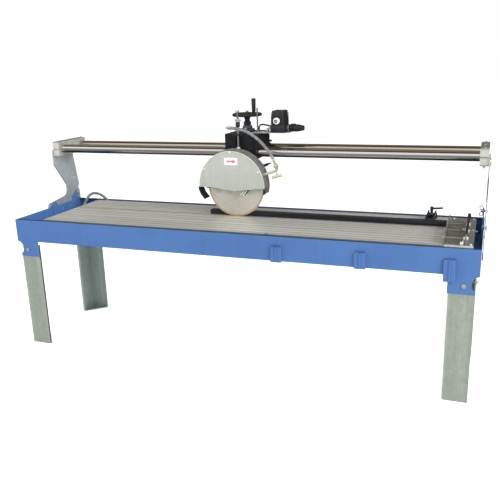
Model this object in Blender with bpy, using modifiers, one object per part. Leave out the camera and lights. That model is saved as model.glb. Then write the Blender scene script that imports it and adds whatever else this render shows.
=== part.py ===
"""Bridge wet saw for tiles and slabs: water tray on folding legs, tilting rail bridge, carriage and saw head.

Metres, +Z up. The origin is on the floor under the middle of the object's box.
Places are written as (x, y, z) from the front left corner of the tray's rim, and at() moves them to the
world. Every length is drawn for a blade of radius BLADE_RADIUS, and SCALE brings the whole object to the
real blade's size.
"""

from math import asin, atan2, cos, degrees, radians, sin, sqrt

import bmesh
import bpy
from mathutils import Matrix, Vector

# The standard 350 mm blade sets the size
BLADE_RADIUS = 0.166
SCALE = 0.175 / BLADE_RADIUS

# Tray and its place in the world
TRAY_LENGTH = 2.55
TRAY_WIDTH = 0.65
RIM_HEIGHT = 0.765
FRONT_Y = -0.34525
SHEET = 0.003
WALL_DROP = 0.1265
FLOOR_TOP = -0.0945
LIP = 0.020
TAB_DROP = 0.216
TAB_OUTER, TAB_INNER = 0.020, 0.140
HOLLOW_X, HOLLOW_Z, HOLLOW_RADIUS = -0.0070, -0.1680, 0.042
POCKETS = ((1.587, -0.050, -0.130), (2.006, -0.050, -0.130), (2.417, -0.053, -0.158))

# Legs
LEG_FACE = 0.119
LEG_INSET = 0.018
LEG_TOP = -0.148
LEG_NOTCH = (0.022, 0.0265, 0.060)
LEG_LIP = 0.015
PIVOT_X, PIVOT_Z = 0.067, -0.176
STUD_RADIUS = 0.006
LEG_SCREW_Y, LEG_SCREW_Z = 0.040, -0.165

# Table
TABLE_LEFT, TABLE_RIGHT = 0.180, 2.505
TABLE_TOP = 0.005
PLANK_HEIGHT = 0.022
PLANK_EDGES = ((0.022, 0.1965), (0.1975, 0.3590), (0.3710, 0.4775), (0.4785, 0.5850))
CROSS_MEMBER_X = (0.42, 1.34, 2.26)

# Cut line, tilt axis and bridge
BLADE_Y = 0.365
TILT_Z = 0.010
LOCK_Y, LOCK_Z = 0.608, 0.0445
PLATE_OUTER, PLATE_INNER = -0.0075, -0.0015
RAIL_RADIUS = 0.025
RAIL_WALL = 0.003
RAIL_Y = (0.462, 0.664)
RAIL_Z = 0.352
BLOCK_Y = (0.420, 0.706)
BLOCK_WIDTH = 0.043
BLOCK_HALF = 0.044

# Carriage, saw head and blade
CARRIAGE_X = (1.160, 1.344)
HEAD_X = 1.243
SPINDLE_X = 1.239
SCREW_Y = 0.563
CARRIAGE_TOP = 0.455
CARRIAGE_BOTTOM = 0.292
SPINDLE_Z = 0.170
BORE_RADIUS = 0.0127
GUARD_X, GUARD_Z, GUARD_RADIUS = 1.224, 0.179, 0.191
GUARD_FLANGE = 0.200
GUARD_FRONT, GUARD_BACK = 0.3335, 0.404
GUARD_OPEN_Z = 0.170
MOTOR_RADIUS = 0.068
ROD_Y = 0.412
WHEEL_Z = 0.550
WHEEL_RADIUS = 0.085
GRIP_DX, GRIP_DY = 0.055, -0.040
GRIP_LENGTH = 0.082

GAP = 0.0003
RUNNING = 0.0004

COLOURS = {
    "blue_paint": ((0.10, 0.23, 0.52), 0.45, 0.0),
    "galvanised": ((0.45, 0.48, 0.46), 0.45, 0.9),
    "aluminium": ((0.62, 0.62, 0.58), 0.40, 0.9),
    "steel": ((0.60, 0.60, 0.57), 0.25, 1.0),
    "zinc": ((0.70, 0.70, 0.66), 0.35, 1.0),
    "black_paint": ((0.012, 0.012, 0.014), 0.45, 0.0),
    "black_plastic": ((0.015, 0.015, 0.016), 0.5, 0.0),
    "rubber": ((0.012, 0.013, 0.015), 0.8, 0.0),
    "blue_grey": ((0.05, 0.07, 0.10), 0.5, 0.0),
    "motor_grey": ((0.30, 0.31, 0.32), 0.5, 0.2),
    "diamond": ((0.62, 0.52, 0.32), 0.4, 0.8),
    "hose": ((0.45, 0.45, 0.43), 0.35, 0.0),
    "nickel": ((0.70, 0.66, 0.55), 0.25, 1.0),
    "cream": ((0.75, 0.70, 0.55), 0.5, 0.0),
    "white": ((0.80, 0.80, 0.78), 0.5, 0.0),
}


def at(x, y, z):
    """The world place of a point measured from the tray's front left rim corner."""
    return Vector((x - TRAY_LENGTH / 2, y + FRONT_Y, z + RIM_HEIGHT)) * SCALE


def clear_scene():
    for old in list(bpy.data.objects):
        bpy.data.objects.remove(old)


def make_collection(name):
    collection = bpy.data.collections.new(name)
    bpy.context.scene.collection.children.link(collection)
    return collection


def make_material(name):
    colour, roughness, metallic = COLOURS[name]
    material = bpy.data.materials.get(name) or bpy.data.materials.new(name)
    material.use_nodes = True
    shader = material.node_tree.nodes["Principled BSDF"]
    shader.inputs["Base Color"].default_value = (*colour, 1.0)
    shader.inputs["Roughness"].default_value = roughness
    shader.inputs["Metallic"].default_value = metallic
    return material


clear_scene()
PARTS = make_collection("bridge_wet_saw")
CUTTERS = make_collection("cutters")


# ---- shapes --------------------------------------------------------------------------------------


def new_object(name, mesh):
    thing = bpy.data.objects.new(name, mesh)
    PARTS.objects.link(thing)
    return thing


def tidy_mesh(mesh):
    """Caps welded to their sides and faces turned outwards."""
    bm = bmesh.new()
    bm.from_mesh(mesh)
    bmesh.ops.remove_doubles(bm, verts=bm.verts, dist=0.000001)
    bmesh.ops.dissolve_degenerate(bm, edges=bm.edges, dist=0.000001)
    bmesh.ops.recalc_face_normals(bm, faces=bm.faces)
    bm.to_mesh(mesh)
    bm.free()
    return mesh


def mesh_from(thing, name):
    """The mesh that an object evaluates to, in place of the object."""
    bpy.context.view_layer.update()
    graph = bpy.context.evaluated_depsgraph_get()
    mesh = tidy_mesh(bpy.data.meshes.new_from_object(thing.evaluated_get(graph)))
    mesh.name = name
    bpy.data.objects.remove(thing)
    return new_object(name, mesh)


def place(thing, location=(0, 0, 0), turn=None):
    if turn is not None:
        thing.data.transform(turn)
    thing.location = location
    return thing


ALONG = {
    "Z": Matrix.Identity(4),
    "Y": Matrix(((1, 0, 0, 0), (0, 0, -1, 0), (0, 1, 0, 0), (0, 0, 0, 1))),
    "X": Matrix(((0, 0, 1, 0), (1, 0, 0, 0), (0, 1, 0, 0), (0, 0, 0, 1))),
}


def prism(name, outline, low, high, axis, holes=()):
    """A flat outline pushed along an axis. Its two numbers are the other two axes, in X, Y, Z order."""
    curve = bpy.data.curves.new(name, "CURVE")
    curve.dimensions = "2D"
    curve.fill_mode = "BOTH"
    curve.extrude = (high - low) / 2 * SCALE
    for ring in (outline, *holes):
        spline = curve.splines.new("POLY")
        spline.points.add(len(ring) - 1)
        for point, (u, v) in zip(spline.points, ring):
            point.co = (u * SCALE, v * SCALE, 0, 1)
        spline.use_cyclic_u = True
    thing = mesh_from(new_object(name, curve), name)
    middle = {"X": (1, 0, 0), "Y": (0, 1, 0), "Z": (0, 0, 1)}[axis]
    corner = at(0, 0, 0)
    return place(thing, corner + Vector(middle) * (low + high) / 2 * SCALE, ALONG[axis])


def block(name, low, high):
    """A box between two corners."""
    bpy.ops.mesh.primitive_cube_add(size=1)
    thing = bpy.context.active_object
    thing.name = name
    for collection in list(thing.users_collection):
        collection.objects.unlink(thing)
    PARTS.objects.link(thing)
    size = [(b - a) * SCALE for a, b in zip(low, high)]
    thing.data.transform(Matrix.Diagonal((*size, 1)))
    thing.location = at(*[(a + b) / 2 for a, b in zip(low, high)])
    return thing


def turned(name, profile, origin, axis="Z", steps=32):
    """A profile of (radius, height) turned about an axis through the origin, written from top to bottom.
    It closes on itself if no point lies on the axis."""
    mesh = bpy.data.meshes.new(name)
    count = len(profile)
    edges = [(i, i + 1) for i in range(count - 1)]
    if all(radius > 0 for radius, _ in profile):
        edges.append((count - 1, 0))
    mesh.from_pydata([(radius * SCALE, 0, height * SCALE) for radius, height in profile], edges, [])
    thing = new_object(name, mesh)
    screw = thing.modifiers.new("turn", "SCREW")
    screw.steps = steps
    screw.render_steps = steps
    screw.use_merge_vertices = True
    screw.merge_threshold = 0.00001
    thing = mesh_from(thing, name)
    return place(thing, at(*origin), ALONG[axis])


def rod(name, start, end, radius, steps=24):
    """A plain round bar between two points."""
    a, b = at(*start), at(*end)
    bpy.ops.mesh.primitive_cylinder_add(vertices=steps, radius=radius * SCALE, depth=(b - a).length)
    thing = bpy.context.active_object
    thing.name = name
    for collection in list(thing.users_collection):
        collection.objects.unlink(thing)
    PARTS.objects.link(thing)
    thing.data.transform((b - a).to_track_quat("Z", "Y").to_matrix().to_4x4())
    thing.location = (a + b) / 2
    return thing


def smooth_path(points, per_stretch=4):
    """Points on one smooth curve through the given points."""
    places = [Vector(p) for p in points]
    ends = [2 * places[0] - places[1], *places, 2 * places[-1] - places[-2]]
    path = []
    for i in range(1, len(ends) - 2):
        a, b, c, d = ends[i - 1 : i + 3]
        for k in range(per_stretch):
            t = k / per_stretch
            path.append(
                0.5 * (2 * b + (c - a) * t + (2 * a - 5 * b + 4 * c - d) * t**2
                       + (3 * b - a - 3 * c + d) * t**3)
            )
    return [*path, places[-1]]


def tube(name, points, radius, resolution=3):
    """A round tube along a path of points."""
    curve = bpy.data.curves.new(name, "CURVE")
    curve.dimensions = "3D"
    curve.bevel_depth = radius * SCALE
    curve.bevel_resolution = resolution
    curve.resolution_u = 1
    curve.render_resolution_u = 0
    curve.use_fill_caps = True
    spline = curve.splines.new("POLY")
    spline.points.add(len(points) - 1)
    for point, spot in zip(spline.points, points):
        point.co = (*at(*spot), 1)
    return mesh_from(new_object(name, curve), name)


def combine(thing, other, operation):
    modifier = thing.modifiers.new(operation.lower(), "BOOLEAN")
    modifier.operation = operation
    modifier.object = other
    PARTS.objects.unlink(other)
    CUTTERS.objects.link(other)
    other.name = thing.name + "_" + operation.lower()
    other.hide_render = True
    other.display_type = "WIRE"
    return thing


def joined(thing, *others):
    for other in others:
        combine(thing, other, "UNION")
    return thing


def cut(thing, *others):
    for other in others:
        combine(thing, other, "DIFFERENCE")
    return thing


def arc(centre, radius, start, end, steps):
    """Points on an arc, angles in degrees."""
    turns = [radians(start + (end - start) * i / steps) for i in range(steps + 1)]
    return [(centre[0] + radius * cos(t), centre[1] + radius * sin(t)) for t in turns]


def circle(centre, radius, steps=24):
    return arc(centre, radius, 0, 360 - 360 / steps, steps - 1)


def rounded(corners, steps=4):
    """A closed outline whose corners (u, v, radius) are rounded."""
    outline = []
    count = len(corners)
    for i, (u, v, radius) in enumerate(corners):
        here = Vector((u, v))
        before = (Vector(corners[i - 1][:2]) - here).normalized()
        after = (Vector(corners[(i + 1) % count][:2]) - here).normalized()
        if radius == 0:
            outline.append((u, v))
            continue
        half = before.angle(after) / 2
        reach = radius / sin(half) * cos(half)
        middle = here + (before + after).normalized() * radius / sin(half)
        first, last = here + before * reach - middle, here + after * reach - middle
        sweep = first.angle_signed(last)
        for k in range(steps + 1):
            spoke = first.copy()
            spoke.rotate(Matrix.Rotation(-sweep * k / steps, 2))
            outline.append(tuple(middle + spoke))
    return outline


def finished(thing, body, material, smooth=True):
    """The piece's material, shading and the empty that it moves with."""
    thing.data.materials.clear()
    thing.data.materials.append(make_material(material))
    if smooth:
        thing.data.shade_smooth()
        thing.data.set_sharp_from_angle(angle=radians(35))
    thing.parent = body
    thing.matrix_parent_inverse = Matrix.Translation(body.location).inverted()
    return thing


def make_body(name, place_=(0, 0, 0)):
    """An empty on a moving body's axis."""
    empty = bpy.data.objects.new("axis_" + name, None)
    PARTS.objects.link(empty)
    empty.location = at(*place_)
    return empty


# ---- stand ---------------------------------------------------------------------------------------


def tab_outline(mirror):
    """A leg tab below a long wall, with a hollow curve towards the tray's end."""
    top = -WALL_DROP + SHEET
    corner = [(TAB_OUTER, -TAB_DROP), (TAB_INNER, -TAB_DROP), (TAB_INNER, top)]
    hollow = arc((HOLLOW_X, HOLLOW_Z), HOLLOW_RADIUS, 79, -60, 9)
    points = [(0.0005, top), *hollow, *corner]
    if mirror:
        points = [(TRAY_LENGTH - x, z) for x, z in reversed(points)]
    return points


def make_tray(body):
    w, s, drop = TRAY_WIDTH, SHEET, -WALL_DROP
    section = [
        (0, 0), (LIP, 0), (LIP, -s), (s, -s), (s, FLOOR_TOP), (w - s, FLOOR_TOP), (w - s, -s),
        (w - LIP, -s), (w - LIP, 0), (w, 0), (w, drop), (w - s, drop), (w - s, FLOOR_TOP - s),
        (s, FLOOR_TOP - s), (s, drop), (0, drop),
    ]
    tray = prism("tray", section, 0, TRAY_LENGTH, "X")
    step = 0.0003
    wall = [(step, -step), (w - step, -step), (w - step, drop + step), (step, drop + step)]
    joined(
        tray,
        prism("end_wall", wall, step, s, "X"),
        prism("end_wall", wall, TRAY_LENGTH - s, TRAY_LENGTH - step, "X"),
    )
    hole_at = (PIVOT_X, PIVOT_Z)
    for mirror in (False, True):
        centre = (TRAY_LENGTH - hole_at[0], hole_at[1]) if mirror else hole_at
        hole = circle(centre, STUD_RADIUS + RUNNING)
        for low in (0, w - s):
            joined(tray, prism("tab", tab_outline(mirror), low + step, low + s - step, "Y", [hole]))
    for x, top, bottom in POCKETS:
        joined(tray, pocket(x, top, bottom))
    return finished(tray, body, "blue_paint")


def pocket(x, top, bottom):
    """A welded hat section that takes the arm of a side extension."""
    half, deep, wall, weld = 0.027, 0.012, 0.003, 0.001
    outline = [
        (x - half, weld), (x - half, -deep), (x + half, -deep), (x + half, weld),
        (x + half - wall, weld), (x + half - wall, wall - deep), (x - half + wall, wall - deep),
        (x - half + wall, weld),
    ]
    rib = block("rib", (x - 0.004, -deep - 0.0035, bottom + 0.002), (x + 0.004, -deep + 0.001, top - 0.002))
    return joined(prism("pocket", outline, bottom, top, "Z"), rib)


def make_tilt_lug(side, body):
    """A plate welded inside an end wall, with the tilt pivot stud and the ear for the lock bolt."""
    ear, boss, low = 0.014, 0.022, -0.055
    outline = [
        (BLADE_Y - boss, low), (LOCK_Y + ear, low),
        *arc((LOCK_Y, LOCK_Z), ear, 0, 140, 7),
        (0.586, 0.040), (0.573, 0.034), (0.561, 0.020), (0.553, -0.004), (BLADE_Y + boss + 0.012, -0.004),
        *arc((BLADE_Y, TILT_Z), boss, 0, 180, 8),
    ]
    near, far = SHEET + RUNNING, SHEET + RUNNING + 0.006
    lug = prism("tilt_lug_" + side, outline, *ends(side, near, far), "X", [circle((LOCK_Y, LOCK_Z), 0.0054)])
    inner, end, nut_near, nut_far = [(flip(side, x), BLADE_Y, TILT_Z) for x in (0.005, -0.0095, -0.0082, -0.0140)]
    stud = rod("stud", inner, end, STUD_RADIUS)
    nut = rod("nut", nut_near, nut_far, 0.011, 6)
    return finished(joined(lug, stud, nut), body, "blue_paint")


def flip(side, x):
    """x at the left end, or its mirror image at the right end."""
    return x if side == "left" else TRAY_LENGTH - x


def ends(side, near, far):
    return sorted((flip(side, near), flip(side, far)))


def make_cross_member(name, x, body):
    """An inverted channel under the planks, from wall to wall."""
    half, high, wall = 0.020, 0.027, 0.003
    top = TABLE_TOP - PLANK_HEIGHT - 0.0005
    outline = [
        (x - half, top), (x + half, top), (x + half, top - high), (x + half - wall, top - high),
        (x + half - wall, top - wall), (x - half + wall, top - wall), (x - half + wall, top - high),
        (x - half, top - high),
    ]
    inset = SHEET + 0.0005
    bar = prism("cross_member_" + name, outline, inset, TRAY_WIDTH - inset, "Y")
    return finished(bar, body, "galvanised", smooth=False)


def make_plank(number, front, back, body):
    """An extruded plank with flutes on top and webs below."""
    flutes = 4 if back - front > 0.12 else 3
    skin, web, deep = 0.0045, 0.004, 0.0018
    pitch = (back - front) / flutes
    groove = pitch * 0.32
    top, bottom = TABLE_TOP, TABLE_TOP - PLANK_HEIGHT
    outline = [(front, bottom), (front, top)]
    for i in range(flutes):
        middle = front + pitch * (i + 0.5)
        outline += [(middle - groove / 2, top), (middle - groove / 2 + 0.001, top - deep)]
        outline += [(middle + groove / 2 - 0.001, top - deep), (middle + groove / 2, top)]
    outline += [(back, top), (back, bottom), (back - web, bottom), (back - web, top - skin)]
    middle = (front + back) / 2
    outline += [(middle + web / 2, top - skin), (middle + web / 2, bottom)]
    outline += [(middle - web / 2, bottom), (middle - web / 2, top - skin)]
    outline += [(front + web, top - skin), (front + web, bottom)]
    plank = prism("plank_%d" % number, outline, TABLE_LEFT, TABLE_RIGHT, "X")
    return finished(plank, body, "aluminium", smooth=False)


PUMP_X, PUMP_Y = 0.125, 0.505
HOSE_RADIUS = 0.0085
PUMP_HOSE = (
    (0.125, 0.505, -0.0357), (0.125, 0.505, -0.0250), (0.127, 0.513, -0.0060), (0.130, 0.530, 0.0140),
    (0.134, 0.550, 0.0330), (0.146, 0.566, 0.0460), (0.168, 0.576, 0.0505), (0.194, 0.585, 0.0440),
    (0.216, 0.593, 0.0290), (0.232, 0.600, 0.0110), (0.262, 0.607, -0.0220), (0.320, 0.607, -0.0480),
    (0.380, 0.608, -0.0560), (0.410, 0.613, -0.0560), (0.427, 0.6300, -0.0560), (0.427, 0.6462, -0.0560),
)


def make_pump(body):
    low = FLOOR_TOP + GAP
    profile = [
        (0, -0.036), (0.012, -0.036), (0.012, -0.046), (0.034, -0.050), (0.040, -0.056), (0.040, -0.080),
        (0.046, -0.082), (0.046, low), (0, low),
    ]
    pump = turned("pump", profile, (PUMP_X, PUMP_Y, 0), steps=24)
    return finished(pump, body, "black_plastic")


# ---- legs ----------------------------------------------------------------------------------------


def mirrored(thing, flip_x, flip_y):
    """The piece's mesh mirrored about the tray's middle planes."""
    corner = at(0, 0, 0)
    far = at(TRAY_LENGTH, TRAY_WIDTH, 0)
    middle = (corner + far) / 2
    graph = bpy.context.evaluated_depsgraph_get()
    bpy.context.view_layer.update()
    mesh = bpy.data.meshes.new_from_object(thing.evaluated_get(graph))
    mesh.transform(thing.matrix_world)
    about = Matrix.Translation(middle)
    scale = Matrix.Diagonal((-1 if flip_x else 1, -1 if flip_y else 1, 1, 1))
    mesh.transform(about @ scale @ about.inverted())
    name = thing.name
    helpers = [m.object for m in thing.modifiers]
    for old in (thing, *helpers):
        bpy.data.objects.remove(old)
    return new_object(name, tidy_mesh(mesh))


def make_leg(name, flip_x, flip_y, body):
    """A folded angle with return lips, a notched top corner, a welded sole plate and the pivot stud."""
    s, x0, y0 = SHEET, LEG_INSET, SHEET + 0.0006
    x1, y1 = x0 + LEG_FACE, y0 + LEG_FACE
    section = [
        (x0, y0), (x1, y0), (x1, y0 + LEG_LIP), (x1 - s, y0 + LEG_LIP), (x1 - s, y0 + s), (x0 + s, y0 + s),
        (x0 + s, y1 - s), (x0 + LEG_LIP, y1 - s), (x0 + LEG_LIP, y1), (x0, y1),
    ]
    leg = prism(name, section, -RIM_HEIGHT, LEG_TOP, "Z")
    sole = [(x0, y0), (x1, y0), (x1, y0 + LEG_LIP), (x0 + LEG_LIP, y1), (x0, y1)]
    past = 0.01
    stud = rod("stud", (PIVOT_X, y0 + 0.002, PIVOT_Z), (PIVOT_X, -0.002, PIVOT_Z), STUD_RADIUS)
    head = rod("head", (PIVOT_X, -0.0006, PIVOT_Z), (PIVOT_X, -0.0075, PIVOT_Z), 0.010, 6)
    joined(leg, prism("sole", sole, -RIM_HEIGHT, 0.004 - RIM_HEIGHT, "Z"), stud, head)
    hole = rod("hole", (x0 - past, LEG_SCREW_Y, LEG_SCREW_Z), (x0 + past, LEG_SCREW_Y, LEG_SCREW_Z), 0.0044, 16)
    corner = block(
        "corner", (x0 - past, y0 - past, LEG_TOP - LEG_NOTCH[2]),
        (x0 + LEG_NOTCH[0], y0 + LEG_NOTCH[1], LEG_TOP + past),
    )
    cut(leg, hole)
    cut(leg, corner)
    return finished(mirrored(leg, flip_x, flip_y), body, "galvanised")


def make_leg_screw(name, flip_x, flip_y, body):
    y, z = LEG_SCREW_Y, LEG_SCREW_Z
    screw = rod(name, (0.009, y, z), (0.030, y, z), 0.004, 16)
    boss = rod("boss", (0.007, y, z), (0.0168, y, z), 0.008, 16)
    wings = block("wings", (0.004, y - 0.015, z - 0.0015), (0.013, y + 0.015, z + 0.0015))
    return finished(mirrored(joined(screw, boss, wings), flip_x, flip_y), body, "zinc")


# ---- bridge --------------------------------------------------------------------------------------


def end_plate_outline():
    """The goose-neck plate with its tilt sector, seen along X as (y, z)."""
    pivot = (BLADE_Y, TILT_Z)
    sector = arc(pivot, 0.290, -50, 5, 10)
    inner = arc(pivot, 0.205, -50, -52, 1)
    neck = rounded(
        [
            (0.655, 0.089, 0.03), (0.621, 0.275, 0.02), (0.612, 0.345, 0), (0.412, 0.345, 0),
            (0.412, 0.257, 0.03), (0.522, 0.106, 0.05), (0.505, 0.046, 0.03), (0.324, 0.024, 0.006),
            (0.311, 0.008, 0.006), (0.318, -0.018, 0.008), (0.385, -0.030, 0.02), (0.455, -0.075, 0.04),
        ],
        steps=3,
    )
    return [*neck, inner[1], *sector]


def arc_slot(radius, half, start, end):
    """A slot along an arc about the tilt pivot."""
    pivot = (BLADE_Y, TILT_Z)
    outer = arc(pivot, radius + half, end, start, 10)
    inner = arc(pivot, radius - half, start, end, 10)
    return [*outer, *inner]


def make_end_plate(side, body):
    reach = sqrt((LOCK_Y - BLADE_Y) ** 2 + (LOCK_Z - TILT_Z) ** 2)
    angle = degrees(atan2(LOCK_Z - TILT_Z, LOCK_Y - BLADE_Y))
    slot = arc_slot(reach, 0.0058, angle + 2, angle - 47)
    holes = [
        circle((BLADE_Y, TILT_Z), STUD_RADIUS + RUNNING), slot,
        circle((0.591, 0.143), 0.006, 12), circle((0.613, 0.149), 0.006, 12),
    ]
    low, high = ends(side, PLATE_OUTER, PLATE_INNER)
    plate = prism("end_plate_" + side, end_plate_outline(), low, high, "X", holes)
    return finished(plate, body, "galvanised")


def make_lock_bolt(side, body):
    """A wing bolt through the lug's ear and the end plate's arc slot."""
    y, z = LOCK_Y, LOCK_Z
    bolt = rod("lock_bolt_" + side, (flip(side, -0.013), y, z), (flip(side, 0.030), y, z), 0.005, 16)
    head = rod("head", (flip(side, -0.0135), y, z), (flip(side, -0.0082), y, z), 0.010, 6)
    boss = rod("boss", (flip(side, 0.0100), y, z), (flip(side, 0.024), y, z), 0.009, 16)
    low, high = ends(side, 0.014, 0.028)
    wings = block("wings", (low, y - 0.0016, z - 0.019), (high, y + 0.0016, z + 0.019))
    return finished(joined(bolt, head, boss, wings), body, "zinc")


def make_rail(name, y, body):
    ring = circle((y, RAIL_Z), RAIL_RADIUS, 40)
    bore = circle((y, RAIL_Z), RAIL_RADIUS - RAIL_WALL, 40)
    return finished(prism(name, ring, 0, TRAY_LENGTH, "X", [bore]), body, "steel")


def make_clamp_block(side, level, body):
    """One half of a split block that grips both rails."""
    sign = 1 if level == "upper" else -1
    split = RAIL_Z + sign * 0.0005
    front, back = BLOCK_Y
    outer = RAIL_Z + sign * BLOCK_HALF
    chamfer = 0.006
    outline = [(front, split)]
    for y in RAIL_Y:
        groove = arc((y, RAIL_Z), RAIL_RADIUS + GAP, 178.5, 1.5, 14)
        outline += [(u, RAIL_Z + sign * (v - RAIL_Z)) for u, v in groove]
    outline += [
        (back, split), (back, outer - sign * chamfer), (back - chamfer, outer),
        (front + chamfer, outer), (front, outer - sign * chamfer),
    ]
    low, high = ends(side, PLATE_INNER + RUNNING, PLATE_INNER + RUNNING + BLOCK_WIDTH)
    half = prism("clamp_block_%s_%s" % (side, level), outline, low, high, "X")
    return finished(half, body, "aluminium", smooth=False)


# ---- carriage ------------------------------------------------------------------------------------


def make_carriage_box(body):
    """A welded box over the rails, open below, with a guide groove for the head's arm."""
    low, high = CARRIAGE_X
    wall = 0.006
    outer = [
        (0.420, CARRIAGE_BOTTOM), (0.420, CARRIAGE_TOP), (0.655, CARRIAGE_TOP), (0.655, 0.386),
        (0.706, 0.364), (0.706, 0.317), (0.452, 0.317), (0.440, CARRIAGE_BOTTOM),
    ]
    inner = [
        (0.434, CARRIAGE_BOTTOM - 0.01), (0.434, CARRIAGE_TOP - wall), (0.649, CARRIAGE_TOP - wall),
        (0.649, 0.3800), (0.700, 0.3580), (0.700, CARRIAGE_BOTTOM - 0.01),
    ]
    box = prism("carriage_box", outer, low, high, "X")
    joined(box, block("eye", (HEAD_X - 0.028, 0.397, 0.448), (HEAD_X + 0.028, 0.4240, CARRIAGE_TOP - 0.0005)))
    cut(
        box,
        prism("inside", inner, low + wall, high - wall, "X"),
        block("groove", (HEAD_X - 0.016, 0.4195, 0.28), (HEAD_X + 0.016, 0.4305, 0.47)),
        rod("eye_hole", (HEAD_X, ROD_Y, 0.44), (HEAD_X, ROD_Y, 0.47), 0.0072, 20),
        rod("screw_hole", (HEAD_X, SCREW_Y, 0.44), (HEAD_X, SCREW_Y, 0.47), 0.0100, 20),
    )
    for y in RAIL_Y:
        cut(box, rod("rail_hole", (low - 0.01, y, RAIL_Z), (high + 0.01, y, RAIL_Z), RAIL_RADIUS + 0.0012, 32))
    return finished(box, body, "black_paint")


def make_roller(name, y, below, body):
    """A hollow-faced roller with its axle, on top of or under a rail."""
    waist, half, axle = 0.014, 0.015, 0.020
    profile = [(0, axle), (0.005, axle), (0.005, half)]
    for i in range(7):
        v = half - 2 * half * i / 6
        profile.append((waist + RAIL_RADIUS - sqrt(RAIL_RADIUS**2 - v**2), v))
    profile += [(0.005, -half), (0.005, -axle), (0, -axle)]
    reach = RAIL_RADIUS + waist + 0.0005
    z = RAIL_Z - reach if below else RAIL_Z + reach
    return finished(turned(name, profile, (HEAD_X, y, z), "Y", 16), body, "zinc")


def make_screw_bearing(body):
    base = CARRIAGE_TOP + GAP
    profile = [
        (0.012, 0.493), (0.021, 0.492), (0.027, 0.487), (0.0295, 0.474), (0.042, 0.470), (0.042, base),
        (0.0100, base), (0.0100, 0.493),
    ]
    return finished(turned("screw_bearing", profile, (HEAD_X, SCREW_Y, 0), steps=24), body, "blue_grey")


def make_handwheel(body):
    """Rim, web, hub and lead screw in one turned piece."""
    r, z = WHEEL_RADIUS, WHEEL_Z
    rim = [(r - 0.008 + 0.008 * sin(t), z + 0.009 * cos(t)) for t in [radians(30 * i) for i in range(7)]]
    profile = [
        (0, z + 0.014), (0.012, z + 0.014), (0.016, z + 0.004), (r - 0.020, z + 0.003), *rim,
        (r - 0.018, z - 0.006), (r - 0.024, z - 0.003), (0.024, z - 0.006), (0.015, z - 0.024),
        (0.0145, 0.514), (0.0205, 0.511), (0.0220, 0.4945), (0.0085, 0.4945), (0.0085, 0.300), (0, 0.300),
    ]
    return finished(turned("handwheel", profile, (HEAD_X, SCREW_Y, 0), steps=28), body, "black_plastic")


def make_crank_grip(body):
    base = WHEEL_Z + 0.0095
    profile = [
        (0, base + GRIP_LENGTH), (0.009, base + GRIP_LENGTH), (0.0122, base + GRIP_LENGTH - 0.004),
        (0.0122, base + GRIP_LENGTH - 0.010),
        (0.0108, base + 0.012), (0.008, base + 0.008), (0.008, base), (0, base),
    ]
    place_ = (HEAD_X + GRIP_DX, SCREW_Y + GRIP_DY, 0)
    return finished(turned("crank_grip", profile, place_, steps=20), body, "black_plastic")


PLATE_Z = CARRIAGE_TOP + GAP
SWITCH_X, SWITCH_Y = 1.4525, 0.516
SWITCH_BASE = PLATE_Z + 0.003 + GAP
SWITCH_TOP = 0.577
SWITCH_HALF = 0.0425
BUTTON_X, BUTTON_Z = 1.449, 0.522
BUTTON_TRAVEL = 0.004


def make_switch_plate(body):
    outline = rounded(
        [
            (1.300, 0.472, 0), (1.497, 0.472, 0.008), (1.512, 0.500, 0.008), (1.512, 0.566, 0.008),
            (1.300, 0.566, 0),
        ]
    )
    return finished(prism("switch_plate", outline, PLATE_Z, PLATE_Z + 0.003, "Z"), body, "galvanised")


def tapered(name, low, high, shrink):
    """A box whose top is smaller than its base by shrink on every side, with rounded upright edges."""
    thing = block(name, low, high)
    width, depth = high[0] - low[0], high[1] - low[1]
    for vertex in thing.data.vertices:
        if vertex.co.z > 0:
            vertex.co.x *= 1 - 2 * shrink / width
            vertex.co.y *= 1 - 2 * shrink / depth
    bevel = thing.modifiers.new("edges", "BEVEL")
    bevel.width = 0.006 * SCALE
    bevel.segments = 2
    bevel.limit_method = "ANGLE"
    return thing


def make_switch_box(body):
    x, y = SWITCH_X, SWITCH_Y
    half, deep, foot_deep, foot_top = 0.0405, 0.047, 0.050, 0.497
    box = tapered("switch_box", (x - half, y - deep, SWITCH_BASE), (x + half, y + deep, SWITCH_TOP), 0.006)
    low, high = (x - SWITCH_HALF, y - foot_deep, SWITCH_BASE), (x + SWITCH_HALF, y + foot_deep, foot_top)
    base = tapered("base", low, high, 0.001)
    joined(box, base)
    face = y - 0.047
    cut(box, rod("recess", (BUTTON_X, face - 0.01, BUTTON_Z), (BUTTON_X, face + 0.012, BUTTON_Z), 0.0185, 24))
    return finished(box, body, "black_plastic")


def make_switch_button(body):
    back = SWITCH_Y - 0.047 + 0.012 - BUTTON_TRAVEL - 0.0008
    profile = [
        (0, 0.022), (0.010, 0.022), (0.0125, 0.0195), (0.0168, 0.0185), (0.0178, 0.016), (0.0178, 0), (0, 0),
    ]
    turn = [(radius, height) for radius, height in profile]
    return finished(turned("switch_button", turn, (BUTTON_X, back, BUTTON_Z), "Y", 24), body, "white")


def make_power_inlet(body):
    """The rubber coupler body at the switch box's right side."""
    profile = [
        (0, 0.092), (0.012, 0.092), (0.0145, 0.086), (0.0195, 0.060), (0.0195, 0.016), (0.0175, 0.0135),
        (0.0175, 0.008), (0.0200, 0.0075), (0.0200, 0), (0, 0),
    ]
    x = SWITCH_X + SWITCH_HALF + GAP
    return finished(turned("power_inlet", profile, (x, 0.530, 0.4795), "X", 24), body, "rubber")


SWITCH_CABLE = (
    (1.300, 0.600, CARRIAGE_TOP + 0.0004), (1.300, 0.600, 0.472), (1.306, 0.598, 0.486),
    (1.326, 0.590, 0.492),
    (1.354, 0.575, 0.490), (1.380, 0.562, 0.487), (1.396, 0.556, 0.485), (1.4085, 0.552, 0.485),
)


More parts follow.
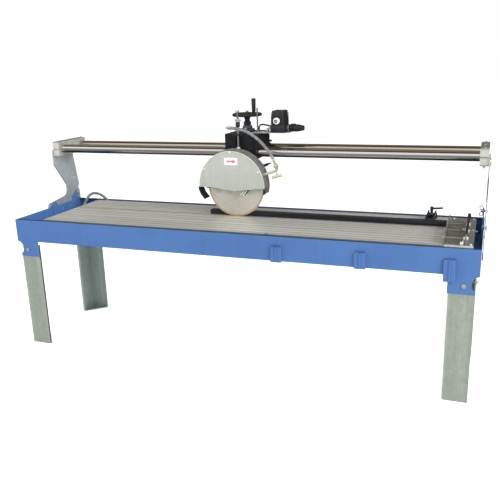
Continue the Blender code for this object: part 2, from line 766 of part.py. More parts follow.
def make_limit_rod(body):
    base = PLATE_Z + 0.003 + GAP
    profile = [(0, 0.592), (0.0045, 0.592), (0.0045, 0.472), (0.009, 0.472), (0.009, base), (0, base)]
    return finished(turned("limit_rod", profile, (1.332, 0.485, 0), steps=12), body, "steel")


# ---- saw head ------------------------------------------------------------------------------------


def make_head_plate(body):
    """The plate between guard and motor, with a tongue for the depth rod and an arm in the carriage."""
    front, back = GUARD_BACK + 0.002, GUARD_BACK + 0.014
    outline = rounded(
        [
            (1.165, 0.085, 0.03), (1.321, 0.085, 0.03), (1.321, 0.285, 0.03), (HEAD_X + 0.017, 0.300, 0),
            (HEAD_X + 0.017, 0.375, 0), (HEAD_X - 0.017, 0.375, 0), (HEAD_X - 0.017, 0.300, 0),
            (1.165, 0.285, 0.03),
        ]
    )
    plate = prism("head_plate", outline, front, back, "Y", [circle((SPINDLE_X, SPINDLE_Z), 0.0145)])
    step = block("step", (HEAD_X - 0.013, back - 0.002, 0.245), (HEAD_X + 0.013, 0.4290, 0.290))
    arm = block("arm", (HEAD_X - 0.013, 0.4205, 0.275), (HEAD_X + 0.013, 0.4290, 0.450))
    return finished(joined(plate, step, arm), body, "black_paint")


def make_motor(body):
    """Ribbed motor housing with its fan cover, behind the head plate."""
    r = MOTOR_RADIUS
    front, back = GUARD_BACK + 0.0143, 0.655
    profile = [(0, -front), (r - 0.004, -front), (r, -front - 0.004), (r, -0.435)]
    for i in range(4):
        y = 0.442 + 0.036 * i
        profile += [(r - 0.007, -y), (r - 0.007, -y - 0.018), (r, -y - 0.018), (r, -y - 0.029)]
    profile += [(r - 0.002, -0.590), (r - 0.002, -0.640), (r - 0.012, -back), (0, -back)]
    place_ = (SPINDLE_X, 0, SPINDLE_Z)
    return finished(turned("motor", profile, place_, "Y", 20), body, "motor_grey")


def guard_ring(radius, z):
    """Angles in degrees where a circle about the guard's centre meets a level."""
    rise = degrees(asin((z - GUARD_Z) / radius))
    return rise, 180 - rise


def make_guard_body(body):
    """Rim and back wall of the blade guard, open below."""
    centre = (GUARD_X, GUARD_Z)
    outer, inner = GUARD_RADIUS, GUARD_RADIUS - 0.003
    a0, a1 = guard_ring(outer, GUARD_OPEN_Z)
    b0, b1 = guard_ring(inner, GUARD_OPEN_Z)
    rim = [*arc(centre, outer, a0, a1, 32), *arc(centre, inner, b1, b0, 32)]
    guard = prism("guard_body", rim, GUARD_FRONT, GUARD_BACK - 0.0015, "Y")
    lobe = [
        (1.045, 0.150), (1.110, 0.138), (HEAD_X - 0.05, 0.126), (HEAD_X + 0.05, 0.124), (1.394, 0.126),
        (1.4185, 0.140),
    ]
    back = [*lobe, *arc(centre, GUARD_FLANGE, *guard_ring(GUARD_FLANGE, GUARD_OPEN_Z - 0.001), 32)]
    wall = prism("back", back, GUARD_BACK - 0.003, GUARD_BACK, "Y", [circle((SPINDLE_X, SPINDLE_Z), 0.0150)])
    return finished(joined(guard, wall), body, "galvanised")


def make_guard_cover(body):
    """Front plate of the guard, its lower edge dipping over the flange."""
    centre, radius = (GUARD_X, GUARD_Z), GUARD_RADIUS + 0.002
    start, end = guard_ring(radius, GUARD_OPEN_Z)
    dip = [(1.120, 0.1695), (1.186, 0.158), (1.251, 0.153), (1.305, 0.158), (1.369, 0.1685)]
    outline = [*dip, *arc(centre, radius, start, end, 40)]
    cover = prism("guard_cover", outline, GUARD_FRONT - 0.0035, GUARD_FRONT - GAP, "Y")
    return finished(cover, body, "galvanised")


def make_splash_flap(body):
    """A bent rubber sheet that hangs at the guard's left end."""
    outline = [
        (1.0215, 0.1685), (1.0270, 0.1685), (1.0295, 0.1520), (1.0385, 0.1300), (1.0615, 0.1015),
        (1.0565, 0.0975), (1.0335, 0.1275), (1.0240, 0.1510),
    ]
    flap = prism("splash_flap", outline, GUARD_FRONT + 0.001, GUARD_BACK - 0.004, "Y")
    return finished(flap, body, "rubber", smooth=False)


def make_depth_rod(body):
    profile = [
        (0, 0.584), (0.0080, 0.584), (0.0090, 0.582), (0.0090, 0.571), (0.0060, 0.570), (0.0060, 0.3755),
        (0, 0.3755),
    ]
    return finished(turned("depth_rod", profile, (HEAD_X, ROD_Y, 0), steps=20), body, "steel")


COLLAR_Z = 0.529


def make_depth_collar(body):
    """A wing nut that sets the depth stop."""
    low, high = COLLAR_Z - 0.007, COLLAR_Z + 0.007
    profile = [(0.011, high), (0.011, low), (0.0066, low), (0.0066, high)]
    collar = turned("depth_collar", profile, (HEAD_X, ROD_Y, 0), steps=20)
    wings = [
        block("wing", (HEAD_X + a, ROD_Y - 0.002, COLLAR_Z - 0.003), (HEAD_X + b, ROD_Y + 0.002, COLLAR_Z + 0.006))
        for a, b in ((-0.018, -0.0085), (0.0085, 0.018))
    ]
    return finished(joined(collar, *wings), body, "zinc")


VALVE_Y = 0.362
VALVE_PATH = (
    (1.4046, VALVE_Y, 0.2436), (1.430, VALVE_Y, 0.2520), (1.462, VALVE_Y, 0.2620), (1.4775, VALVE_Y, 0.2690),
    (1.4800, VALVE_Y, 0.2800), (1.4740, VALVE_Y, 0.2950), (1.4610, VALVE_Y, 0.3270),
)
LEVER_X = 1.479


def make_water_valve(body):
    valve = tube("water_valve", VALVE_PATH, 0.0078, 2)
    bpy.ops.mesh.primitive_uv_sphere_add(segments=14, ring_count=8, radius=0.0140 * SCALE)
    ball = bpy.context.active_object
    for collection in list(ball.users_collection):
        collection.objects.unlink(ball)
    PARTS.objects.link(ball)
    ball.location = at(1.4750, VALVE_Y, 0.2920)
    return finished(joined(valve, ball), body, "nickel")


def make_valve_lever(body):
    """A T-shaped lever on the valve's stem, below the elbow."""
    stem = rod("valve_lever", (LEVER_X, VALVE_Y, 0.2565), (LEVER_X, VALVE_Y, 0.236), 0.0058, 16)
    bar = tube("bar", ((1.453, VALVE_Y, 0.229), (LEVER_X, VALVE_Y, 0.236), (1.505, VALVE_Y, 0.243)), 0.0080, 2)
    return finished(joined(stem, bar), body, "cream")


WATER_HOSE = (
    (1.4598, 0.362, 0.3295), (1.4480, 0.363, 0.3520), (1.4220, 0.366, 0.3850), (1.3770, 0.371, 0.4290),
    (1.3150, 0.377, 0.4690), (1.2520, 0.382, 0.4870), (1.1980, 0.384, 0.4920),
)


def make_spindle(body):
    """Motor shaft with the inner blade flange."""
    y = BLADE_Y
    profile = [
        (0, -0.340), (0.0100, -0.340), (0.0100, -y + 0.0015), (0.0123, -y + 0.0014), (0.0123, -y - 0.0016),
        (0.040, -y - 0.0017), (0.040, -y - 0.007), (0.020, -y - 0.010), (0.0125, -y - 0.012),
        (0.0125, -0.4180), (0, -0.4180),
    ]
    return finished(turned("spindle", profile, (SPINDLE_X, 0, SPINDLE_Z), "Y", 20), body, "steel")


def make_blade(body):
    """Thin core with a slightly thicker diamond rim."""
    y, core, rim, high = BLADE_Y, 0.0011, 0.0014, 0.0100
    r = BLADE_RADIUS
    profile = [
        (BORE_RADIUS, -y + core), (r - high, -y + core), (r - high, -y + rim), (r, -y + rim), (r, -y - rim),
        (r - high, -y - rim), (r - high, -y - core), (BORE_RADIUS, -y - core),
    ]
    return finished(turned("blade", profile, (SPINDLE_X, 0, SPINDLE_Z), "Y", 60), body, "diamond")


def make_blade_nut(body):
    """Outer flange and hexagon nut."""
    y = BLADE_Y
    profile = [
        (0.018, -y + 0.012), (0.040, -y + 0.006), (0.040, -y + 0.0017), (0.0105, -y + 0.0017),
        (0.0105, -y + 0.012),
    ]
    flange = turned("blade_nut", profile, (SPINDLE_X, 0, SPINDLE_Z), "Y")
    centre = (SPINDLE_X, SPINDLE_Z)
    nut = prism("nut", circle(centre, 0.0175, 6), y - 0.021, y - 0.011, "Y", [circle(centre, 0.0105, 32)])
    return finished(joined(flange, nut), body, "zinc")


# ---- stops on the table --------------------------------------------------------------------------


ROD_ROWS = ((0.054, 2.487), (0.194, 2.525), (0.325, 2.487))
STOP_ROD_Z = 0.035
STOP_X = 2.380


def make_stop_bracket(body):
    """Base plate on the table with an upright that guides the cross stop's rods."""
    low = TABLE_TOP + 0.0005
    base = block("stop_bracket", (2.386, 0.023, low), (2.512, 0.567, low + 0.003))
    holes = [circle((y, STOP_ROD_Z), 0.0044, 16) for y, _ in ROD_ROWS]
    corners = [(0.036, low + 0.002, 0), (0.465, low + 0.002, 0), (0.465, 0.055, 0.010), (0.036, 0.055, 0.010)]
    upright = prism("upright", rounded(corners), 2.474, 2.480, "X", holes)
    return finished(joined(base, upright), body, "galvanised")


def make_cross_stop(body):
    """Sliding square stop with its three guide rods."""
    low = TABLE_TOP + 0.0042
    corners = [(0.040, low, 0), (0.460, low, 0), (0.460, 0.052, 0.010), (0.040, 0.052, 0.010)]
    stop = prism("cross_stop", rounded(corners), STOP_X, STOP_X + 0.005, "X")
    rods = [
        rod("guide", (STOP_X + 0.002, y, STOP_ROD_Z), (end, y, STOP_ROD_Z), 0.0040, 16) for y, end in ROD_ROWS
    ]
    return finished(joined(stop, *rods), body, "galvanised")


BAR_X = (1.073, 2.371)
BAR_Y = (0.3725, 0.4085)
CLAMP_X, CLAMP_Y = 2.289, 0.470


def make_fence_bar(body):
    """Hollow bar that a slab is laid against."""
    front, back = BAR_Y
    low, high, wall = TABLE_TOP + 0.0005, TABLE_TOP + 0.0260, 0.003
    outline = [(front, low), (back, low), (back, high), (front, high)]
    inside = [
        (front + wall, low + wall), (back - wall, low + wall), (back - wall, high - wall),
        (front + wall, high - wall),
    ]
    return finished(prism("fence_bar", outline, *BAR_X, "X", [inside]), body, "black_paint", smooth=False)


def make_fence_bracket(body):
    """Two arms from the bar to the table's back edge, tied by the clamp block."""
    top = TABLE_TOP + 0.0263
    foot = block("fence_bracket", (2.262, 0.3755, top), (2.314, 0.4055, top + 0.008))
    arms = [
        block("arm", (2.266, 0.3805, top + 0.001), (2.2715, 0.548, 0.050)),
        block("arm", (2.3025, 0.3805, top + 0.001), (2.308, 0.548, 0.050)),
    ]
    middle = block("middle", (2.268, CLAMP_Y - 0.014, 0.024), (2.306, CLAMP_Y + 0.014, 0.0445))
    end = block("end", (2.262, 0.538, TABLE_TOP + 0.0005), (2.312, 0.552, top + 0.004))
    return finished(joined(foot, *arms, middle, end), body, "black_paint", smooth=False)


def make_clamp_lever(body):
    """Ratchet clamp lever above the clamp block."""
    low = 0.0505
    profile = [
        (0, 0.086), (0.006, 0.086), (0.0085, 0.082), (0.0085, 0.068), (0.0065, 0.062), (0.0075, low), (0, low),
    ]
    boss = turned("clamp_lever", profile, (CLAMP_X, CLAMP_Y, 0), steps=20)
    handle = tube("handle", ((CLAMP_X, CLAMP_Y, 0.075), (2.315, 0.452, 0.081), (2.345, 0.428, 0.089)), 0.0048, 2)
    return finished(joined(boss, handle), body, "black_plastic")


# ---- assembly ------------------------------------------------------------------------------------


def build_stand():
    stand = make_body("stand")
    make_tray(stand)
    for side in ("left", "right"):
        make_tilt_lug(side, stand)
        make_lock_bolt(side, make_body("lock_bolt_" + side, (flip(side, 0), LOCK_Y, LOCK_Z)))
    for name, x in zip(("left", "centre", "right"), CROSS_MEMBER_X):
        make_cross_member(name, x, stand)
    for number, (front, back) in enumerate(PLANK_EDGES, 1):
        make_plank(number, front, back, stand)
    make_pump(stand)
    hose = [PUMP_HOSE[0], *smooth_path(PUMP_HOSE[1:-1], 3), PUMP_HOSE[-1]]
    finished(tube("pump_hose", hose, HOSE_RADIUS, 2), stand, "hose")
    make_stop_bracket(stand)


def build_legs():
    for depth, flip_y in (("front", False), ("back", True)):
        for side, flip_x in (("left", False), ("right", True)):
            name = depth + "_" + side
            edge = TRAY_WIDTH if flip_y else 0
            leg = make_body("leg_" + name, (flip(side, PIVOT_X), edge, PIVOT_Z))
            make_leg("leg_" + name, flip_x, flip_y, leg)
            y = TRAY_WIDTH - LEG_SCREW_Y if flip_y else LEG_SCREW_Y
            screw = make_body("leg_screw_" + name, (flip(side, 0.02), y, LEG_SCREW_Z))
            make_leg_screw("leg_screw_" + name, flip_x, flip_y, screw)


def build_bridge():
    bridge = make_body("bridge", (0, BLADE_Y, TILT_Z))
    for name, y in zip(("rail_front", "rail_rear"), RAIL_Y):
        make_rail(name, y, bridge)
    for side in ("left", "right"):
        make_end_plate(side, bridge)
        for level in ("lower", "upper"):
            make_clamp_block(side, level, bridge)


def build_carriage():
    carriage = make_body("carriage", (HEAD_X, SCREW_Y, RAIL_Z))
    make_carriage_box(carriage)
    make_screw_bearing(carriage)
    make_switch_plate(carriage)
    make_switch_box(carriage)
    make_power_inlet(carriage)
    finished(tube("switch_cable", smooth_path(SWITCH_CABLE, 3), 0.0045, 2), carriage, "rubber")
    make_limit_rod(carriage)
    reach = RAIL_RADIUS + 0.0145
    make_roller("roller_front", RAIL_Y[0], False, make_body("roller_front", (HEAD_X, RAIL_Y[0], RAIL_Z + reach)))
    make_roller("roller_rear", RAIL_Y[1], True, make_body("roller_rear", (HEAD_X, RAIL_Y[1], RAIL_Z - reach)))
    make_handwheel(make_body("handwheel", (HEAD_X, SCREW_Y, WHEEL_Z)))
    make_crank_grip(make_body("crank_grip", (HEAD_X + GRIP_DX, SCREW_Y + GRIP_DY, WHEEL_Z)))
    make_switch_button(make_body("switch_button", (BUTTON_X, SWITCH_Y - 0.047, BUTTON_Z)))


def build_head():
    head = make_body("head", (HEAD_X, ROD_Y, SPINDLE_Z))
    for make in (make_head_plate, make_motor, make_guard_body, make_guard_cover, make_splash_flap,
                 make_depth_rod, make_water_valve):
        make(head)
    finished(tube("water_hose", smooth_path(WATER_HOSE, 4), HOSE_RADIUS, 3), head, "hose")
    make_depth_collar(make_body("depth_collar", (HEAD_X, ROD_Y, COLLAR_Z)))
    make_valve_lever(make_body("valve_lever", (LEVER_X, VALVE_Y, 0.25)))
    spindle = make_body("spindle", (SPINDLE_X, BLADE_Y, SPINDLE_Z))
    for make in (make_spindle, make_blade, make_blade_nut):
        make(spindle)


def build_stops():
    make_cross_stop(make_body("cross_stop", (STOP_X, 0, TABLE_TOP)))
    fence = make_body("fence", (BAR_X[1], BAR_Y[0], TABLE_TOP))
    make_fence_bar(fence)
    make_fence_bracket(fence)
    make_clamp_lever(make_body("clamp_lever", (CLAMP_X, CLAMP_Y, 0.06)))


build_stand()
build_legs()
build_bridge()
build_carriage()
build_head()
build_stops()
bpy.context.view_layer.update()
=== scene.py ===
"""Looks of the bridge wet saw: finishes, hardware, hoses, light and camera around the fixed CAD frame.

Metres, +Z up. The model is drawn in units of its blade and scaled once, so places here are written as in
the CAD: at(x, y, z) counts from the front left corner of the tray's rim, in drawing units, and the frame
gives the scale.
"""

from math import cos, pi, radians, sin

import bmesh
import bpy
from mathutils import Matrix, Vector


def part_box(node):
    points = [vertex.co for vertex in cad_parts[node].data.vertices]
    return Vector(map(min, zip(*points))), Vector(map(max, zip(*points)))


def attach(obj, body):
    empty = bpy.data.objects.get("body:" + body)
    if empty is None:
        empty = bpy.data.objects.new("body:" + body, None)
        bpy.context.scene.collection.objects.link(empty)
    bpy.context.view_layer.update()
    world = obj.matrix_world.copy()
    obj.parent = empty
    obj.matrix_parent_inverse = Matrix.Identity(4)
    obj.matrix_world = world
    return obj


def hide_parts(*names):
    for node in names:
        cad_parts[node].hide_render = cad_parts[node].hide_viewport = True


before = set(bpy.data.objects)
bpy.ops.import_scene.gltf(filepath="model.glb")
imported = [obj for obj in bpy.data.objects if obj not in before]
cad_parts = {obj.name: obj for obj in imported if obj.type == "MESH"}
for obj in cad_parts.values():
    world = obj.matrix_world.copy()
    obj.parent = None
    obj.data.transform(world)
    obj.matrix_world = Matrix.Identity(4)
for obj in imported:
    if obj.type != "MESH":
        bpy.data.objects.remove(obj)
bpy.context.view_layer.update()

MM = 0.001
X, Y, Z = Vector((1, 0, 0)), Vector((0, 1, 0)), Vector((0, 0, 1))

# The front rail gives the drawing's scale and its corner
RAIL_LOW, RAIL_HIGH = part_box("rail_front")
RAIL_Y, RAIL_Z, RAIL_DIAMETER = 0.462, 0.352, 0.05
SCALE = (RAIL_HIGH.z - RAIL_LOW.z) / RAIL_DIAMETER
RAIL_MIDDLE = (RAIL_LOW + RAIL_HIGH) / 2
CORNER = Vector((RAIL_LOW.x, RAIL_MIDDLE.y - RAIL_Y * SCALE, RAIL_MIDDLE.z - RAIL_Z * SCALE))
LENGTH = (RAIL_HIGH.x - RAIL_LOW.x) / SCALE


def at(x, y, z):
    """The world place of a point in drawing units."""
    return CORNER + Vector((x, y, z)) * SCALE


def middle(node):
    low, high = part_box(node)
    return (low + high) / 2


# ---- camera ----------------------------------------------------------------


def make_camera():
    """Eye level view from the right end, in front of the tray."""
    yaw, pitch, roll = radians(20.712), radians(16.136), radians(-1.744)
    ahead = Vector((-sin(yaw) * cos(pitch), cos(yaw) * cos(pitch), -sin(pitch)))
    level = Vector((cos(yaw), sin(yaw), 0))
    above = level.cross(ahead)
    across = cos(roll) * level + sin(roll) * above
    upward = -sin(roll) * level + cos(roll) * above
    data = bpy.data.cameras.new("camera")
    data.lens = 46.18
    data.sensor_width = 36
    data.clip_end = 100
    camera = bpy.data.objects.new("camera", data)
    facing = Matrix((across, upward, -ahead)).transposed().to_4x4()
    camera.matrix_world = Matrix.Translation(Vector((1.3448, -3.4381, 1.6743))) @ facing
    bpy.context.scene.collection.objects.link(camera)
    bpy.context.scene.camera = camera


# ---- finishes --------------------------------------------------------------


class Tree:
    """A node tree, built by short calls."""

    def __init__(self, owner):
        owner.use_nodes = True
        self.nodes = owner.node_tree.nodes
        self.links = owner.node_tree.links

    def add(self, kind, *values, **settings):
        """A new node with its settings, and its first inputs fed with the values."""
        node = self.nodes.new("ShaderNode" + kind)
        for key, value in settings.items():
            setattr(node, key, value)
        for socket, value in zip(node.inputs, values):
            self.feed(socket, value)
        return node

    def feed(self, socket, value):
        if isinstance(value, bpy.types.NodeSocket):
            self.links.new(value, socket)
        else:
            socket.default_value = value

    def span(self, value, low, high, start=0.0, end=1.0):
        """value from low to high, spread over start to end."""
        return self.add("MapRange", value, low, high, start, end).outputs["Result"]

    def sum(self, first, second, operation="ADD"):
        return self.add("Math", first, second, operation=operation).outputs["Value"]

    def times(self, first, second):
        return self.sum(first, second, "MULTIPLY")

    def part(self, vector, axis):
        """One coordinate of a vector."""
        return self.add("SeparateXYZ", vector).outputs[axis]


class Finish(Tree):
    """A material's node tree. Patterns are laid out in metres in the piece's own space."""

    def __init__(self, name, slot, colour, roughness, metallic=0.0, **sockets):
        self.material = bpy.data.materials.new(name)
        super().__init__(self.material)
        self.slot = slot
        self.shader = self.nodes["Principled BSDF"]
        self.put("Base Color", (*colour, 1))
        self.put("Roughness", roughness)
        self.put("Metallic", metallic)
        for socket, value in sockets.items():
            self.put(socket.replace("_", " ").title(), value)
        self.place = self.add("TexCoord").outputs["Object"]

    def put(self, socket, value):
        self.feed(self.shader.inputs[socket], value)
        return self

    def texture(self, kind, scale, stretch):
        mapping = self.add("Mapping", self.place)
        mapping.inputs["Scale"].default_value = [scale * s for s in stretch]
        node = self.add(kind, mapping.outputs["Vector"])
        node.inputs["Scale"].default_value = 1
        return node

    def noise(self, scale, detail=3.0, stretch=(1, 1, 1)):
        node = self.texture("TexNoise", scale, stretch)
        node.inputs["Detail"].default_value = detail
        return node.outputs["Fac"]

    def cells(self, scale, stretch=(1, 1, 1), output="Color"):
        return self.texture("TexVoronoi", scale, stretch).outputs[output]

    def blend(self, share, first, second):
        """A colour between first and second."""
        node = self.add("Mix", share, data_type="RGBA")
        for socket, colour in ((node.inputs[6], first), (node.inputs[7], second)):
            self.feed(socket, (*colour, 1) if isinstance(colour, tuple) and len(colour) == 3 else colour)
        return node.outputs[2]

    def facing(self, axis):
        """How far the surface faces along an axis."""
        return self.part(self.add("NewGeometry").outputs["Normal"], axis)

    def edges(self, radius, low=0.02, high=0.3):
        """1 on worn edges and 0 on flats, and the rounded normal that gives it."""
        rounded = self.add("Bevel", radius, samples=4).outputs["Normal"]
        flat = self.add("NewGeometry").outputs["Normal"]
        dot = self.add("VectorMath", rounded, flat, operation="DOT_PRODUCT")
        return self.span(dot.outputs["Value"], 1 - low, 1 - high), rounded

    def rough(self, scale, detail, low, high):
        """Roughness in soft patches from low to high."""
        self.put("Roughness", self.span(self.noise(scale, detail), 0.3, 0.7, low, high))

    def relief(self, *layers, normal=None):
        """Bump layers of (pattern, depth in metres)."""
        for pattern, depth in layers:
            bump = self.add("Bump")
            bump.inputs["Strength"].default_value = 1
            bump.inputs["Distance"].default_value = depth
            self.feed(bump.inputs["Height"], pattern)
            if normal is not None:
                self.feed(bump.inputs["Normal"], normal)
            normal = bump.outputs["Normal"]
        return self.put("Normal", normal)

    def skin(self, edge, colour, bare, share, *layers):
        """The colour, with a share of the bare one on worn edges, and relief over the rounded normal."""
        worn, rounded = self.edges(edge)
        self.put("Base Color", self.blend(self.times(worn, share), colour, bare))
        return self.relief(*layers, normal=rounded)


def blue_paint(name, painted_light_base=0.0):
    """Powder coat with orange peel, water marks and chipped edges, with painted light making faces towards
    the right paler and painted shade darkening the rim's upward faces.
    """
    f = Finish(name, "blue_paint", (0.055, 0.14, 0.35), 0.4, coat_weight=0.12, coat_roughness=0.25)
    f.put("Specular IOR Level", 0.35)
    mottle_and_painted_light = f.blend(f.span(f.noise(5), 0.35, 0.65), (0.05, 0.132, 0.335), (0.058, 0.147, 0.365))
    # Painted light: faces towards the right are painted paler, and the function's second argument sets how
    # pale every other face is painted
    sideways = f.span(f.facing("X"), 0.5, 0.9, painted_light_base, 0.85)
    mottle_and_painted_light = f.blend(sideways, mottle_and_painted_light, (0.095, 0.225, 0.52))
    runs = f.span(f.noise(24, 5, (1, 1, 0.12)), 0.56, 0.72, 0.0, 0.28)
    marks_and_painted_light = f.blend(runs, mottle_and_painted_light, (0.072, 0.16, 0.355))
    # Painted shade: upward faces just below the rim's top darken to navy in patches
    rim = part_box("tray")[1].z
    upward = f.span(f.facing("Z"), 0.75, 0.95)
    near_rim = f.span(f.part(f.place, "Z"), rim - 2 * MM, rim - 0.5 * MM)
    rim_painted_shade = f.times(f.times(upward, near_rim), f.span(f.noise(9, 4), 0.3, 0.7, 0.8, 1.0))
    marks_and_painted_light = f.blend(rim_painted_shade, marks_and_painted_light, (0.006, 0.018, 0.04))
    f.rough(45, 5, 0.34, 0.5)
    peel, waves = (f.noise(620, 2), 0.1 * MM), (f.noise(7, 2), 0.9 * MM)
    return f.skin(1.2 * MM, marks_and_painted_light, (0.33, 0.36, 0.4), f.span(f.noise(160, 4), 0.53, 0.62), peel, waves)


def galvanised(name, light, dark, spangle=46, streaks=(60, 60, 1.4), metallic=0.72, shade=0.0,
               lined_share=0.35, painted_shade_right=0.0):
    """Zinc coated sheet: spangle, rolled streaks and small dull spots, with painted shade where it faces
    the floor and, given a share, painted shade where it faces the right."""
    f = Finish(name, "galvanised", light, 0.4, metallic)
    grain = f.span(f.cells(spangle, (1, 1, 0.8)), 0.1, 0.9)
    base = f.blend(f.times(grain, 0.55), light, dark)
    lines = f.span(f.noise(1, 4, streaks), 0.35, 0.65)
    lined = f.blend(f.times(lines, lined_share), base, tuple(c * 0.72 for c in dark))
    spots = f.span(f.noise(75, 5), 0.62, 0.72, 0.0, 0.5)
    worn, rounded = f.edges(0.9 * MM)
    bright = f.blend(f.times(worn, 0.6), f.blend(spots, lined, (0.62, 0.63, 0.6)), (0.78, 0.78, 0.75))
    # Painted shade: faces towards the floor darken to near black, by the shade share
    under = f.span(f.facing("Z"), -0.3, -0.55, 0.0, shade)
    shaded = f.blend(under, bright, (0.035, 0.03, 0.025))
    # Painted shade: faces towards the right darken, by the share given for that side
    sideways = f.span(f.facing("X"), 0.7, 0.95, 0.0, painted_shade_right)
    f.put("Base Color", f.blend(sideways, shaded, (0.045, 0.06, 0.052)))
    f.put("Roughness", f.sum(f.span(grain, 0, 1, 0.3, 0.44), f.times(spots, 0.3)))
    return f.relief((lines, 0.05 * MM), (f.noise(11, 2), 0.7 * MM), normal=rounded)


GROOVE_DEPTH = 1.8 * MM


def aluminium(name, groove_top=None, dull_top=0.0):
    """Extruded bar: drawn lines along X, light scratches, painted shade in the grooves, and grime on a dull
    top.
    """
    f = Finish(name, "aluminium", (0.5, 0.5, 0.47), 0.4, 0.5)
    lines = f.noise(1, 5, (0.6, 420, 420))
    wide = f.noise(1, 3, (0.9, 38, 38))
    base = f.blend(f.span(lines, 0.3, 0.7), (0.6, 0.6, 0.545), (0.8, 0.8, 0.755))
    toned = f.blend(f.span(wide, 0.4, 0.68, 0.0, 0.55), base, (0.43, 0.42, 0.36))
    scratch = f.span(f.noise(1, 2, (16, 700, 700)), 0.66, 0.72, 0.0, 0.6)
    marks_and_painted_light = f.blend(scratch, toned, (0.76, 0.76, 0.73))
    # Painted shade: groove floors darken towards the bottom, as if in shade
    if groove_top is not None:
        bottom = groove_top - GROOVE_DEPTH * 0.8
        deep = f.span(f.part(f.place, "Z"), groove_top - 0.25 * MM, bottom, 0.0, 0.72)
        marks_and_painted_light = f.blend(deep, marks_and_painted_light, (0.13, 0.125, 0.105))
    upward = f.span(f.facing("Z"), 0.6, 0.9, 0.0, dull_top)
    grime = f.times(upward, f.span(f.noise(90, 4), 0.3, 0.7, 0.7, 1.0))
    marks_and_painted_light = f.blend(grime, marks_and_painted_light, (0.1, 0.095, 0.085))
    f.put("Roughness", f.span(lines, 0.3, 0.7, 0.3, 0.48))
    return f.skin(0.6 * MM, marks_and_painted_light, (0.8, 0.8, 0.77), 0.5, (lines, 0.03 * MM))


def bar_steel(name, clean, oiled, amount):
    """Ground round bar: fine turning rings, a film of oil along it, and a painted dark reflection on the
    underside.
    """
    f = Finish(name, "steel", clean, 0.12, 1.0)
    film = f.span(f.noise(1, 4, (1.1, 36, 36)), 0.4, 0.66, 0.0, amount)
    # Painted reflection: faces towards the floor darken to near black
    under = f.span(f.facing("Z"), -0.35, -0.62, 0.0, 0.88)
    f.put("Base Color", f.blend(under, f.blend(film, clean, oiled), (0.02, 0.022, 0.025)))
    rings = f.noise(1, 3, (1400, 3, 3))
    f.put("Roughness", f.sum(f.span(rings, 0.3, 0.7, 0.07, 0.14), f.times(film, 0.1)))
    return f.relief((rings, 0.004 * MM))


def plated(name, slot, light, tint, roughness=0.28, metallic=1.0):
    """Plated fasteners and fittings, with a patchy tint and small pits."""
    f = Finish(name, slot, light, roughness, metallic)
    tinted = f.blend(f.span(f.noise(55, 3), 0.35, 0.68), light, tint)
    f.rough(140, 4, roughness - 0.08, roughness + 0.12)
    return f.skin(0.5 * MM, tinted, (0.86, 0.85, 0.8), 0.5, (f.noise(420, 3), 0.03 * MM))


def black_paint():
    """Satin black over steel, dusty on top and rubbed grey at the edges."""
    f = Finish("satin_black", "black_paint", (0.012, 0.012, 0.014), 0.35)
    f.put("Specular IOR Level", 0.25)
    dust = f.span(f.noise(22, 5), 0.48, 0.75, 0.0, 0.3)
    dusty = f.blend(dust, (0.01, 0.01, 0.012), (0.055, 0.056, 0.06))
    f.rough(60, 5, 0.28, 0.46)
    rubbed = f.span(f.noise(120, 4), 0.42, 0.6, 0.1, 0.8)
    return f.skin(1.0 * MM, dusty, (0.16, 0.16, 0.165), rubbed, (f.noise(700, 2), 0.08 * MM))


def fence_paint():
    """Dark grey paint rubbed along the bar."""
    f = Finish("fence_grey", "black_paint", (0.03, 0.032, 0.036), 0.42)
    f.put("Specular IOR Level", 0.25)
    streak = f.span(f.noise(1, 4, (2.5, 160, 160)), 0.4, 0.68, 0.0, 0.6)
    base = f.blend(streak, (0.01, 0.011, 0.014), (0.036, 0.038, 0.046))
    f.rough(70, 4, 0.34, 0.5)
    return f.skin(1.0 * MM, base, (0.22, 0.22, 0.23), 0.45, (f.noise(800, 2), 0.06 * MM))


def moulded(name, slot, colour, dust, roughness=0.45, grain=1300, depth=0.05 * MM):
    """Moulded plastic or rubber with a fine grain and a little dust."""
    f = Finish(name, slot, colour, roughness)
    base = f.blend(f.span(f.noise(36, 5), 0.46, 0.74, 0.0, 0.4), colour, dust)
    f.rough(85, 4, roughness - 0.07, roughness + 0.08)
    pale = tuple(min(1, 2.2 * c + 0.02) for c in dust)
    return f.skin(1.0 * MM, base, pale, 0.35, (f.cells(grain, output="Distance"), depth))


def cast_paint(name, slot, colour, light):
    """Painted casting: a lumpy skin with thin paint on its edges."""
    f = Finish(name, slot, colour, 0.45, coat_weight=0.15, coat_roughness=0.3)
    base = f.blend(f.span(f.noise(30, 4), 0.35, 0.7), colour, light)
    f.rough(80, 4, 0.36, 0.54)
    return f.skin(1.5 * MM, base, tuple(2 * c for c in light), 0.5, (f.noise(260, 3), 0.25 * MM))


